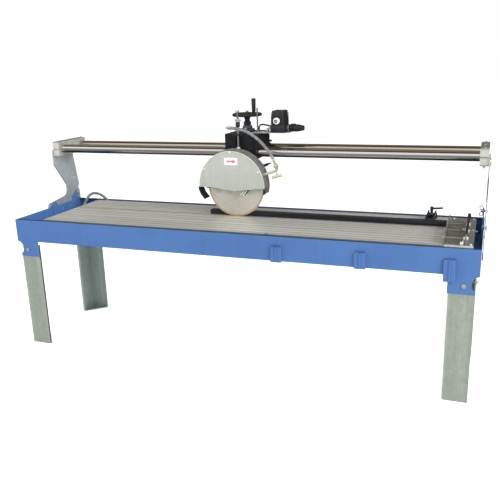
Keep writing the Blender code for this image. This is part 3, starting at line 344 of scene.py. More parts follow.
def blade_steel():
    """Brushed core with a painted sheen that darkens it in a fan round the spindle, and a sintered diamond
    rim, both laid out round the spindle.
    """
    low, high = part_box("blade")
    rim = (high.x - low.x) / 2 - 10.8 * MM
    f = Finish("blade_steel", "diamond", (0.62, 0.61, 0.57), 0.3, 0.5, anisotropic=0.7)
    offset = f.add("VectorMath", f.place, middle("blade"), operation="SUBTRACT").outputs["Vector"]
    out = f.add("VectorMath", offset, operation="LENGTH").outputs["Value"]
    spoke = f.sum(f.part(offset, "Z"), f.part(offset, "X"), "ARCTAN2")
    polar = f.add("CombineXYZ", f.times(out, 900.0), f.times(spoke, 2.4))
    brushing = f.add("TexNoise", polar.outputs["Vector"])
    brushing.inputs["Scale"].default_value = 1
    brushing.inputs["Detail"].default_value = 4
    rings = brushing.outputs["Fac"]
    # Painted sheen: the core darkens and lightens in a fan by the angle round the spindle
    fan = f.sum(f.sum(f.times(spoke, 2.0), 3.4), 0.0, "COSINE")
    core = f.blend(f.span(rings, 0.3, 0.7), (0.68, 0.66, 0.57), (0.84, 0.82, 0.74))
    core = f.blend(f.span(fan, -1, 1, 0.0, 0.3), core, (0.46, 0.43, 0.35))
    stain = f.span(f.noise(26, 5), 0.52, 0.74, 0.0, 0.45)
    core = f.blend(stain, core, (0.46, 0.4, 0.27))
    grit = f.blend(f.span(f.noise(900, 3), 0.3, 0.7), (0.5, 0.36, 0.16), (0.74, 0.6, 0.34))
    at_rim = f.span(out, rim - 0.3 * MM, rim + 0.3 * MM)
    f.put("Base Color", f.blend(at_rim, core, grit))
    f.put("Roughness", f.blend(at_rim, (0.3, 0.3, 0.3), (0.55, 0.55, 0.55)))
    f.put("Tangent", f.add("Tangent", direction_type="RADIAL", axis="Y").outputs["Tangent"])
    depth = f.sum(f.times(at_rim, f.noise(1400, 2)), f.times(rings, 0.1))
    return f.relief((depth, 0.08 * MM))


def hose_plastic(name):
    """Milky braided hose: pale wall over a crossed braid."""
    f = Finish(name, "hose", (0.24, 0.24, 0.24), 0.3, transmission_weight=0.1, coat_weight=0.3,
               coat_roughness=0.15)
    cloudy = f.blend(f.span(f.noise(60, 4), 0.35, 0.7), (0.19, 0.19, 0.19), (0.34, 0.34, 0.335))
    braid = f.span(f.cells(520, (1, 1, 1), "Distance"), 0.2, 0.7, 0.0, 0.45)
    f.put("Base Color", f.blend(braid, cloudy, (0.1, 0.1, 0.1)))
    f.rough(90, 4, 0.24, 0.42)
    return f.relief((braid, 0.15 * MM))


def printed(name, colour):
    """Sticker film with a slightly uneven print."""
    f = Finish(name, "white", colour, 0.35, coat_weight=0.4, coat_roughness=0.12)
    f.put("Base Color", f.blend(f.span(f.noise(300, 3), 0.3, 0.7), colour, tuple(c * 0.9 for c in colour)))
    f.rough(120, 3, 0.28, 0.42)
    return f.relief((f.noise(200, 2), 0.03 * MM))


def make_finishes():
    plank_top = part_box("plank_1")[1].z
    return {
        "blue": blue_paint("powder_blue"),
        # Tilt lugs: a copy of the blue with painted light, paler on every face
        "blue_lug": blue_paint("powder_blue_lug_painted_light", 0.95),
        "sheet": galvanised("zinc_sheet", (0.47, 0.53, 0.475), (0.34, 0.39, 0.345), metallic=0.42),
        # Front legs: painted shade on faces towards the right. End plates: painted shade on faces towards
        # the floor.
        "leg": galvanised("zinc_leg", (0.42, 0.46, 0.4), (0.31, 0.345, 0.29), metallic=0.4, painted_shade_right=0.9),
        "plate": galvanised("zinc_plate", (0.52, 0.57, 0.59), (0.4, 0.44, 0.455), 60, (4, 4, 4), 0.3, 0.88),
        "stop": galvanised("stop_steel", (0.235, 0.235, 0.205), (0.15, 0.15, 0.13), 90, (70, 1.2, 70), 0.3),
        "guard": galvanised("guard_steel", (0.52, 0.555, 0.5), (0.46, 0.49, 0.44), 18, (90, 90, 1.6), 0.22,
                            lined_share=0.15),
        "guard_rim": galvanised("guard_rim_steel", (0.3, 0.29, 0.285), (0.19, 0.185, 0.18), 60, (40, 5, 40),
                                0.35),
        # Pale zinc with little metal, so it stays bright under any light: painted highlight on rims, bends,
        # edges and small fittings that glint
        "bright": plated("zinc_painted_highlight", "zinc", (0.86, 0.87, 0.8), (0.76, 0.76, 0.66), 0.42, 0.35),
        "plank": aluminium("plank_aluminium", plank_top),
        "block": aluminium("block_aluminium", dull_top=0.9),
        "rail": bar_steel("rail_steel", (0.66, 0.655, 0.63), (0.46, 0.42, 0.33), 0.45),
        # Rear rail: an oiled, darker and browner copy of the rail steel; the darkening is painted shade for
        # its dimmer reflection
        "rail_oiled_painted_dark": bar_steel("rail_steel_oiled_painted_dark", (0.5, 0.47, 0.38), (0.34, 0.3, 0.21), 0.75),
        "rod": bar_steel("rod_steel", (0.66, 0.66, 0.64), (0.48, 0.47, 0.42), 0.5),
        "zinc": plated("zinc_plating", "zinc", (0.72, 0.72, 0.68), (0.58, 0.56, 0.45), 0.28, 0.7),
        "nickel": plated("nickel_brass", "nickel", (0.86, 0.83, 0.7), (0.66, 0.61, 0.44), 0.3, 0.75),
        "black": black_paint(),
        "fence": fence_paint(),
        "plastic": moulded("black_plastic", "black_plastic", (0.013, 0.013, 0.015), (0.04, 0.041, 0.044),
                           0.4),
        "rubber": moulded("rubber", "rubber", (0.012, 0.013, 0.015), (0.05, 0.051, 0.052), 0.62, 900,
                          0.08 * MM),
        "bearing": cast_paint("bearing_blue", "blue_grey", (0.03, 0.05, 0.08), (0.065, 0.09, 0.125)),
        "motor": cast_paint("motor_grey", "motor_grey", (0.2, 0.21, 0.22), (0.3, 0.31, 0.32)),
        "blade": blade_steel(),
        "hose": hose_plastic("braided_hose"),
        "cream": moulded("cream_plastic", "cream", (0.52, 0.5, 0.39), (0.38, 0.35, 0.25), 0.42),
        "white": moulded("white_plastic", "white", (0.78, 0.78, 0.75), (0.55, 0.54, 0.5), 0.38),
        "film": printed("sticker_white", (0.82, 0.83, 0.84)),
        "red": printed("sticker_red", (0.72, 0.045, 0.09)),
        "orange": moulded("orange_plastic", "rubber", (0.6, 0.19, 0.03), (0.4, 0.16, 0.06), 0.45),
    }


NODE_FINISH = {
    "blue": "tray",
    "blue_lug": "tilt_lug_left tilt_lug_right",
    "sheet": "leg_back_left leg_back_right cross_member_left cross_member_centre cross_member_right",
    "leg": "leg_front_left leg_front_right",
    "plate": "end_plate_left end_plate_right switch_plate",
    "stop": "stop_bracket cross_stop",
    "guard": "guard_cover",
    "guard_rim": "guard_body",
    "plank": "plank_1 plank_2 plank_3 plank_4",
    "block": "clamp_block_left_upper clamp_block_left_lower "
    "clamp_block_right_upper clamp_block_right_lower",
    "rail": "rail_front",
    "rail_oiled_painted_dark": "rail_rear",
    "rod": "depth_rod limit_rod spindle",
    "zinc": "roller_front roller_rear blade_nut depth_collar lock_bolt_left lock_bolt_right "
    "leg_screw_front_left leg_screw_front_right leg_screw_back_left leg_screw_back_right",
    "nickel": "water_valve",
    "black": "carriage_box head_plate",
    "fence": "fence_bar fence_bracket",
    "plastic": "handwheel crank_grip switch_box clamp_lever pump",
    "rubber": "splash_flap power_inlet switch_cable",
    "bearing": "screw_bearing",
    "motor": "motor",
    "blade": "blade",
    "hose": "pump_hose water_hose",
    "cream": "valve_lever",
    "white": "switch_button",
}


def make_weld_group():
    """Geometry nodes that weld a node's triangles and shade it smooth across soft edges."""
    group = bpy.data.node_groups.new("weld_and_smooth", "GeometryNodeTree")
    for way in ("INPUT", "OUTPUT"):
        group.interface.new_socket("Geometry", in_out=way, socket_type="NodeSocketGeometry")
    kinds = ("GroupInput", "RemoveAttribute", "MergeByDistance", "SetShadeSmooth", "SetShadeSmooth")
    chain = [group.nodes.new("NodeGroupInput" if k == "GroupInput" else "GeometryNode" + k) for k in kinds]
    chain.append(group.nodes.new("NodeGroupOutput"))
    for first, second in zip(chain, chain[1:]):
        group.links.new(first.outputs[0], second.inputs["Geometry"])
    chain[1].inputs["Name"].default_value = "custom_normal"
    chain[2].inputs["Distance"].default_value = 0.01 * MM
    chain[4].domain = "EDGE"
    chain[4].inputs["Shade Smooth"].default_value = False
    angle = group.nodes.new("GeometryNodeInputMeshEdgeAngle")
    sharp = group.nodes.new("FunctionNodeCompare")
    sharp.operation = "GREATER_THAN"
    sharp.inputs[1].default_value = radians(32)
    group.links.new(angle.outputs["Unsigned Angle"], sharp.inputs[0])
    group.links.new(sharp.outputs["Result"], chain[4].inputs["Selection"])
    return group


def finish_nodes():
    group = make_weld_group()
    for finish, names in NODE_FINISH.items():
        for name in names.split():
            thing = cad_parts[name]
            for slot in thing.material_slots:
                slot.material = FINISHES[finish].material
            thing.modifiers.new("weld", "NODES").node_group = group


# ---- shapes ----------------------------------------------------------------
# Profiles, outlines, radii and thicknesses are in millimetres. Places and paths are world points in metres.


def frame_of(axis):
    """Two directions across an axis."""
    axis = axis.normalized()
    side = (Z if abs(axis.z) < 0.9 else X).cross(axis).normalized()
    return side, axis.cross(side)


def turn(bm, profile, origin, axis, steps=24):
    """Adds a profile of (radius, distance along the axis) turned about the axis."""
    side, up = frame_of(axis)
    axis = axis.normalized()
    turns = [2 * pi * i / steps for i in range(steps)]
    rings = []
    for radius, along in profile:
        spot = origin + axis * (along * MM)
        if radius == 0:
            rings.append([bm.verts.new(spot)])
            continue
        reach = radius * MM
        rings.append([bm.verts.new(spot + side * reach * cos(t) + up * reach * sin(t)) for t in turns])
    for low, high in zip(rings, rings[1:]):
        for i in range(steps):
            j = (i + 1) % steps
            face = [low[i % len(low)], low[j % len(low)], high[j % len(high)], high[i % len(high)]]
            face = [v for k, v in enumerate(face) if v not in face[:k]]
            if len(face) > 2:
                bm.faces.new(face)


def sweep(bm, path, radius, sides=10, closed=False):
    """Adds a round tube along a path. radius is a number, or one for each point."""
    count = len(path)
    radii = radius if isinstance(radius, list) else [radius] * count
    side = None
    rings = []
    for i, spot in enumerate(path):
        before = path[i - 1] if closed or i else spot
        after = path[(i + 1) % count] if closed or i < count - 1 else spot
        along = (after - before).normalized()
        side = frame_of(along)[0] if side is None else (side - along * side.dot(along)).normalized()
        up = along.cross(side)
        reach = radii[i] * MM
        turns = [2 * pi * k / sides for k in range(sides)]
        rings.append([bm.verts.new(spot + (side * cos(t) + up * sin(t)) * reach) for t in turns])
    pairs = list(zip(rings, rings[1:]))
    if closed:
        pairs.append((rings[-1], rings[0]))
    else:
        bm.faces.new(rings[0][::-1])
        bm.faces.new(rings[-1])
    for low, high in pairs:
        for k in range(sides):
            j = (k + 1) % sides
            bm.faces.new((low[k], low[j], high[j], high[k]))


def slab(bm, outline, origin, across, up, thickness):
    """Adds a flat outline of (across, up) pushed along across x up."""
    normal = across.cross(up).normalized()
    flat = [bm.verts.new(origin + across * (u * MM) + up * (v * MM)) for u, v in outline]
    raised = [bm.verts.new(v.co + normal * (thickness * MM)) for v in flat]
    bm.faces.new(flat[::-1])
    bm.faces.new(raised)
    for i in range(len(flat)):
        j = (i + 1) % len(flat)
        bm.faces.new((flat[i], flat[j], raised[j], raised[i]))


def drum(radius, low, high):
    """The profile of a plain round bar from low to high."""
    return [(0, low), (radius, low), (radius, high), (0, high)]


def rounded_box(width, height, radius, steps=4):
    """The outline of a rectangle about the origin, with round corners."""
    outline = []
    for quarter, (u, v) in enumerate(((1, 1), (-1, 1), (-1, -1), (1, -1))):
        for k in range(steps + 1):
            t = pi / 2 * (quarter + k / steps)
            across = u * (width / 2 - radius) + radius * cos(t)
            outline.append((across, v * (height / 2 - radius) + radius * sin(t)))
    return outline


def smooth_path(points, per_stretch=6):
    """Points on one smooth curve through the given points."""
    ends = [2 * points[0] - points[1], *points, 2 * points[-1] - points[-2]]
    path = []
    for a, b, c, d in zip(ends, ends[1:], ends[2:], ends[3:]):
        for k in range(per_stretch):
            t = k / per_stretch
            square, cube = 2 * a - 5 * b + 4 * c - d, 3 * b - a - 3 * c + d
            path.append(0.5 * (2 * b + (c - a) * t + square * t**2 + cube * t**3))
    return [*path, points[-1]]


def even_path(points, step):
    """The same line with points a step apart."""
    lengths = [0.0]
    for a, b in zip(points, points[1:]):
        lengths.append(lengths[-1] + (b - a).length)
    count = max(2, round(lengths[-1] / step))
    path, k = [], 0
    for i in range(count + 1):
        goal = lengths[-1] * i / count
        while k < len(points) - 2 and lengths[k + 1] < goal:
            k += 1
        share = (goal - lengths[k]) / (lengths[k + 1] - lengths[k])
        path.append(points[k].lerp(points[k + 1], share))
    return path


def piece(name, finish, body, *shapes, bevel=0.0, replaces=()):
    """Shapes, each a shape function and what it takes, become one named piece riding on its body."""
    bm = bmesh.new()
    for add_shape, *sizes in shapes:
        add_shape(bm, *sizes)
    bmesh.ops.recalc_face_normals(bm, faces=bm.faces)
    mesh = bpy.data.meshes.new(name)
    bm.to_mesh(mesh)
    bm.free()
    mesh.materials.append(FINISHES[finish].material)
    mesh.shade_smooth()
    mesh.set_sharp_from_angle(angle=radians(35))
    thing = bpy.data.objects.new(name, mesh)
    bpy.context.scene.collection.objects.link(thing)
    if bevel:
        edge = thing.modifiers.new("edge", "BEVEL")
        edge.width = bevel * MM
        edge.segments = 2
        edge.limit_method = "ANGLE"
        edge.angle_limit = radians(40)
        edge.harden_normals = True
    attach(thing, body)
    for node in replaces:
        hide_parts(node)
    return thing


# ---- hardware --------------------------------------------------------------


def hex_head(bm, spot, axis, radius=7.5, height=5.5):
    """A chamfered hexagon on a washer."""
    washer, edge, wide = 1.5, 0.3, radius * 1.25
    turn(bm, [(0, 0), (wide, 0), (wide, washer - edge), (wide - edge, washer), (0, washer)], spot, axis, 20)
    chamfer, top = radius * 0.12, washer + height
    profile = [(0, washer), (radius, washer), (radius, top - chamfer), (radius - chamfer, top), (0, top)]
    turn(bm, profile, spot, axis, 6)


def nut_on_stud(bm, spot, axis, radius=6.5, height=5, stud=3.2, out=5):
    """A washer, a nut and the stud's end with its thread, whose pitch is 1 mm."""
    hex_head(bm, spot, axis, radius, height)
    base = height + 1.5
    profile = [(stud, base - 1)]
    for i in range(out):
        profile += [(stud, base + i), (stud * 0.86, base + i + 0.5)]
    top = base + out
    turn(bm, [(0, base - 1), *profile, (stud * 0.8, top), (0, top)], spot, axis, 14)


def cap_screw(bm, spot, axis, radius=5, height=5):
    """A socket head with its hollow."""
    side, wall = height - 0.5, radius * 0.52
    head = [(0, 0), (radius, 0), (radius, side), (radius - 0.5, height), (radius * 0.55, height)]
    turn(bm, head, spot, axis, 20)
    hollow = [(radius * 0.56, height), (wall, height - 0.4), (wall, height * 0.4), (0, height * 0.4)]
    turn(bm, hollow, spot, axis, 6)


def pan_head(bm, spot, axis, radius=4.5, height=2.6):
    """A domed head with a thin flange."""
    rise = height - 0.6
    dome = [(radius * cos(radians(a)), 0.6 + rise * sin(radians(a))) for a in range(0, 90, 15)]
    turn(bm, [(0, 0), (radius * 1.15, 0), (radius * 1.15, 0.4), *dome, (0, height)], spot, axis, 18)


def ring_wing(bm, spot, axis, wing, hub, tall, loop, wire):
    """A wing nut whose two wings are loops: a coned hub, with a loop on each side."""
    top = tall + 0.6
    cone = [(0, 0), (hub, 0), (hub, tall * 0.3), (hub * 0.72, tall), (hub * 0.3, top), (0, top)]
    turn(bm, cone, spot, axis, 20)
    axis, wing = axis.normalized(), wing.normalized()
    for way in (1, -1):
        reach, rest = hub * 0.6 + loop[0], tall * 0.45 + loop[0] * 0.25
        centre = spot + (wing * way * reach + axis * rest) * MM
        lean = (wing * way + axis * 0.35).normalized()
        rise = (axis - lean * axis.dot(lean)).normalized()
        turns = [2 * pi * i / 20 for i in range(20)]
        ring = [centre + (lean * loop[0] * cos(t) + rise * loop[1] * sin(t)) * MM for t in turns]
        sweep(bm, ring, wire, 8, True)


# ---- stand -----------------------------------------------------------------


SIDES = (("left", -X), ("right", X))


def beside(side, x, y, z):
    """at(x, y, z) on the left side, and its mirror image on the right."""
    return at(x if side == "left" else LENGTH - x, y, z)


def make_stand_hardware():
    tilt_y, tilt_z, lock_y, lock_z = 0.365, 0.01, 0.608, 0.0445
    for side, out in SIDES:
        # Nut on the tilt pivot's stud
        pivot = beside(side, -0.0078, tilt_y, tilt_z)
        piece(f"tilt_nut_{side}", "zinc", "stand", (nut_on_stud, pivot, out, 10.5, 4, 4.5, 1))
        # Wing bolt that locks the tilt
        inside = beside(side, 0.0105, lock_y, lock_z)
        piece(f"wing_bolt_{side}", "zinc", f"lock_bolt_{side}",
              (turn, drum(5, -1, 25), beside(side, 0.012, lock_y, lock_z), out, 16),
              (hex_head, beside(side, -0.008, lock_y, lock_z), out, 9.5, 4),
              (turn, drum(9, -1, 5), inside, out, 20),
              (ring_wing, inside, -out, Z, 9.5, 12, (12, 9), 2.4), replaces=[f"lock_bolt_{side}"])
        # Cap screws that hold the lug to the end wall
        for number, y in enumerate((0.44, 0.52)):
            spot = beside(side, 0.0096, y, -0.03)
            piece(f"lug_screw_{side}_{number}", "zinc", "stand", (pan_head, spot, -out, 6, 4))


def make_rim_details():
    """Welds at the tray's corners and beside its pockets, and the small stop on the front lip."""
    for side, out in SIDES:
        for name, y in (("front", 0.003), ("back", 0.647)):
            beads = [beside(side, 0.0035, y, -0.008 - 0.0035 * i) for i in range(33)]
            radii = [1.1 + 0.5 * sin(i * 2.3) for i in range(33)]
            piece(f"corner_weld_{side}_{name}", "blue", "stand", (sweep, beads, radii, 8))
    tab = (slab, rounded_box(16, 9, 1), at(1.53, 0.0162, 0.0045), X, Z, 2.5)
    piece("rim_tab", "blue", "stand", tab, bevel=0.5)
    for number, (x, top) in enumerate(((1.587, -0.05), (2.006, -0.05), (2.417, -0.053))):
        for side, out in SIDES:
            path = [at(x + out.x * 0.0275, -0.0016, top - 0.004 - 0.004 * i) for i in range(19)]
            radii = [0.9 + 0.35 * sin(i * 1.9 + number) for i in range(19)]
            piece(f"pocket_weld_{number}_{side}", "blue", "stand", (sweep, path, radii, 6))


def make_leg_hardware():
    cap, brim = 9.2, 9.2 * 1.28
    dome = [(cap * cos(radians(a)), 3.2 * sin(radians(a)) - 2.4) for a in range(0, 90, 15)]
    profile = [(0, -6.2), (brim, -6.2), (brim, -5.2), (cap, -5.2), *dome, (0, 0.8)]
    for row, way, face in (("front", -1, 0.0036), ("back", 1, 0.6464)):
        for side, out in SIDES:
            leg, screw = f"leg_{row}_{side}", f"leg_screw_{row}_{side}"
            low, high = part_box(leg)
            head = beside(side, 0.067, 0, -0.176)
            head.y = low.y if way < 0 else high.y
            piece(f"pivot_cap_{row}_{side}", "zinc", leg, (turn, profile, head, Y * way, 24))
            # The folded corner, a pale strip as a painted highlight along the bend
            x = (high.x if side == "left" else low.x) + out.x * 1.2 * MM
            y = at(0, face, 0).y - way * 1.2 * MM
            corner = [Vector((x, y, z)) for z in (at(0, 0, -0.222).z, at(0, 0, -0.5).z, 1 * MM)]
            piece(f"leg_bend_{row}_{side}", "bright", leg, (sweep, corner, 1.4, 10))
            spot = beside(side, 0.0166, 0, 0)
            spot.yz = middle(screw).yz
            piece(f"leg_wing_{row}_{side}", "zinc", screw,
                  (turn, drum(3.7, -14, 1), spot, out, 16), (turn, drum(9, -0.4, 1), spot, out, 20),
                  (ring_wing, spot + out * MM, out, Y + Z * 0.5, 6, 8, (7.5, 5.5), 1.6), replaces=[screw])


# ---- bridge ----------------------------------------------------------------


def make_bridge_hardware():
    for side, out in SIDES:
        low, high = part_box(f"clamp_block_{side}_upper")
        under, joint = [corner.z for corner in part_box(f"clamp_block_{side}_lower")]
        x = (low.x + high.x) / 2
        for number, y in enumerate((0.436, 0.563, 0.691)):
            spot = Vector((x, at(0, y, 0).y, high.z))
            piece(f"block_screw_{side}_{number}", "zinc", "bridge",
                  (turn, drum(8, 0, 1.2), spot, Z, 20), (cap_screw, spot + Z * 1.2 * MM, Z, 6, 4.6))
            spot.z = under
            piece(f"block_nut_{side}_{number}", "zinc", "bridge", (nut_on_stud, spot, -Z, 7, 5, 3.8, 6))
        for number, (y, z) in enumerate(((0.445, 0.322), (0.59, 0.322), (0.52, 0.3), (0.6, 0.296))):
            spot = beside(side, -0.0076, y, z)
            piece(f"plate_bolt_{side}_{number}", "zinc", "bridge", (hex_head, spot, out, 6.5, 4))
        # Dark joint between the block's two halves
        strip = rounded_box((high.x - low.x) / MM - 1, 2.6, 1)
        seam = Vector((x, low.y - 0.4 * MM, joint))
        piece(f"block_joint_{side}", "rubber", "bridge", (slab, strip, seam, X, Z, 0.5))
        # Pointer beside the locking slot
        pointer = [(0, -3), (22, -1), (24, 0), (22, 1), (0, 3)]
        spot = beside(side, -0.0078, 0.592, 0.095)
        piece(f"tilt_pointer_{side}", "zinc", "bridge", (slab, pointer, spot, Y * out.x, Z, 1.5))
        # Plugs that close the rails' ends
        plug = [(0, -4), (22.5, -4), (22.5, -0.6), (21.5, 0.2), (0, 0.2)]
        for name, y in (("front", 0.462), ("rear", 0.664)):
            spot = beside(side, 0, y, 0.352)
            piece(f"rail_plug_{side}_{name}", "plastic", "bridge", (turn, plug, spot, out, 32))


# ---- carriage --------------------------------------------------------------


def make_carriage_details():
    low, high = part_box("carriage_box")
    for number, (y, z) in enumerate(((0.48, 0.43), (0.6, 0.43), (0.52, 0.345), (0.61, 0.345))):
        for (side, out), x in zip(SIDES, (low.x, high.x)):
            spot = at(0, y, z)
            spot.x = x
            piece(f"axle_bolt_{side}_{number}", "black", "carriage", (hex_head, spot, out, 7, 4.5))
    # Bolt at the step above the rear rail
    spot = at(0, 0.65, 0.394)
    spot.x = high.x
    bolt = [(0, 0), (5, 0), (5, 7), (8.5, 7.5), (8.5, 13), (0, 14)]
    piece("step_bolt", "black", "carriage", (turn, bolt, spot, X, 6))
    # Jib knob low on the right side
    spot = at(0, 0.445, 0.345)
    spot.x = high.x
    knob = [(0, 0), (4, 0), (4, 7), (8, 8), (9.5, 10), (9.5, 17), (8, 19), (0, 19.5)]
    piece("jib_knob", "plastic", "carriage", (turn, knob, spot, X, 18))
    # Front cover strips beside the guide groove
    for side, x0, x1 in (("left", 1.172, 1.222), ("right", 1.264, 1.332)):
        x = (x0 + x1) / 2
        cover = rounded_box((x1 - x0) * SCALE / MM, 0.13 * SCALE / MM, 3)
        spot = at(x, 0.42, 0.376) - Y * 0.1 * MM
        piece(f"guide_cover_{side}", "black", "carriage", (slab, cover, spot, X, Z, 1.6), bevel=0.5)
        spot = at(x, 0.42, 0.427) - Y * 1.4 * MM
        piece(f"guide_screw_{side}", "black", "carriage", (cap_screw, spot, -Y, 3.6, 3))
    # Grease plug and flange bolts on the lead screw's bearing
    centre = at(1.243, 0.563, 0.4702)
    plug = [(0, 0), (6, 0), (6, 3), (4.5, 4.5), (4.5, 8), (2.5, 10), (0, 10.4)]
    piece("grease_plug", "cream", "carriage", (turn, plug, centre + (X - Y * 36) * MM, Z, 16))
    for number in range(4):
        t = radians(15 + 90 * number)
        spot = centre + (X * cos(t) + Y * sin(t)) * 37 * MM
        piece(f"bearing_screw_{number}", "zinc", "carriage", (cap_screw, spot, Z, 3.6, 3.4))


def make_switch_details():
    low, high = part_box("switch_box")
    front = middle("switch_button")
    front.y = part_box("switch_button")[0].y
    insert = [(0, 0), (9.5, 0), (9.5, 1.0), (8.5, 1.6), (0, 1.9)]
    piece("button_insert", "plastic", "switch_button", (turn, insert, front, -Y, 24))
    across, up = (X + Z * 0.6).normalized(), (Z - X * 0.6).normalized()
    mark = (slab, rounded_box(13, 2.6, 1.2), front - Y * 1.8 * MM, across, up, 0.7)
    piece("button_mark", "white", "switch_button", mark)
    ring = [(20.6, 0), (21.4, 0.9), (21.0, 2.0), (19.9, 2.1), (19.7, 0)]
    front.y = at(0, 0.469, 0).y + 0.6 * MM
    piece("button_bezel", "plastic", "carriage", (turn, ring, front, -Y, 32))
    # Ribs down the sides, and lid screws
    for number in range(5):
        for (side, out), x in zip(SIDES, (low.x, high.x)):
            foot, top = [at(0, 0.484 + 0.016 * number, z) for z in (0.5, 0.566)]
            foot.x, top.x = x - out.x * 2.0 * MM, x - out.x * 3.6 * MM
            piece(f"box_rib_{side}_{number}", "plastic", "carriage", (sweep, [foot, top], 1.5, 8))
    for number, (x, y) in enumerate(((-24, -36), (24, -36), (-24, 36), (24, 36))):
        spot = (low + high) / 2 + (X * x + Y * y) * MM
        spot.z = high.z - 0.3 * MM
        piece(f"lid_screw_{number}", "zinc", "carriage", (pan_head, spot, Z, 3, 1.8))
    # Cable gland and bracket at the box, and the flange, grips and cap of the power inlet
    gland = [(5.2, -16), (8, -14), (9.5, -9), (9.5, -2), (11, -1.8), (11, 0.4), (5.2, 0.4)]
    piece("cable_gland", "cream", "carriage", (turn, gland, at(1.4095, 0.552, 0.485), X, 20))
    elbow = [at(x, 0.5, z) for x, z in ((1.409, 0.48), (1.396, 0.48), (1.384, 0.474), (1.38, 0.463))]
    collar = [(7.4, -6), (10.5, -6), (10.5, -0.6), (7.4, -0.6)]
    piece("box_bracket", "cream", "carriage",
          (sweep, smooth_path(elbow), 7.5, 14), (turn, collar, elbow[0], X, 6))
    piece("plate_screw", "zinc", "carriage", (hex_head, at(1.366, 0.488, 0.4585), Z, 6.5, 4.5))
    inlet = middle("power_inlet")
    inlet.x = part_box("power_inlet")[0].x
    flange = [(20, 3.2), (22.6, 3.0), (23.0, 5.4), (22.6, 7.8), (20, 7.6)]
    piece("inlet_flange", "zinc", "carriage", (turn, flange, inlet, X, 28))
    for number in range(10):
        t = 2 * pi * number / 10
        edge = inlet + (Y * cos(t) + Z * sin(t)) * 20.4 * MM
        grip = [edge + X * 18 * MM, edge + X * 62 * MM]
        piece(f"inlet_grip_{number}", "rubber", "carriage", (sweep, grip, 1.4, 8))
    lid = inlet + (X * 34 - Y * 7 + Z * 20) * MM
    piece("inlet_lid", "rubber", "carriage", (slab, rounded_box(30, 15, 4), lid, X, Y, 5), bevel=1.2)


# ---- saw head --------------------------------------------------------------


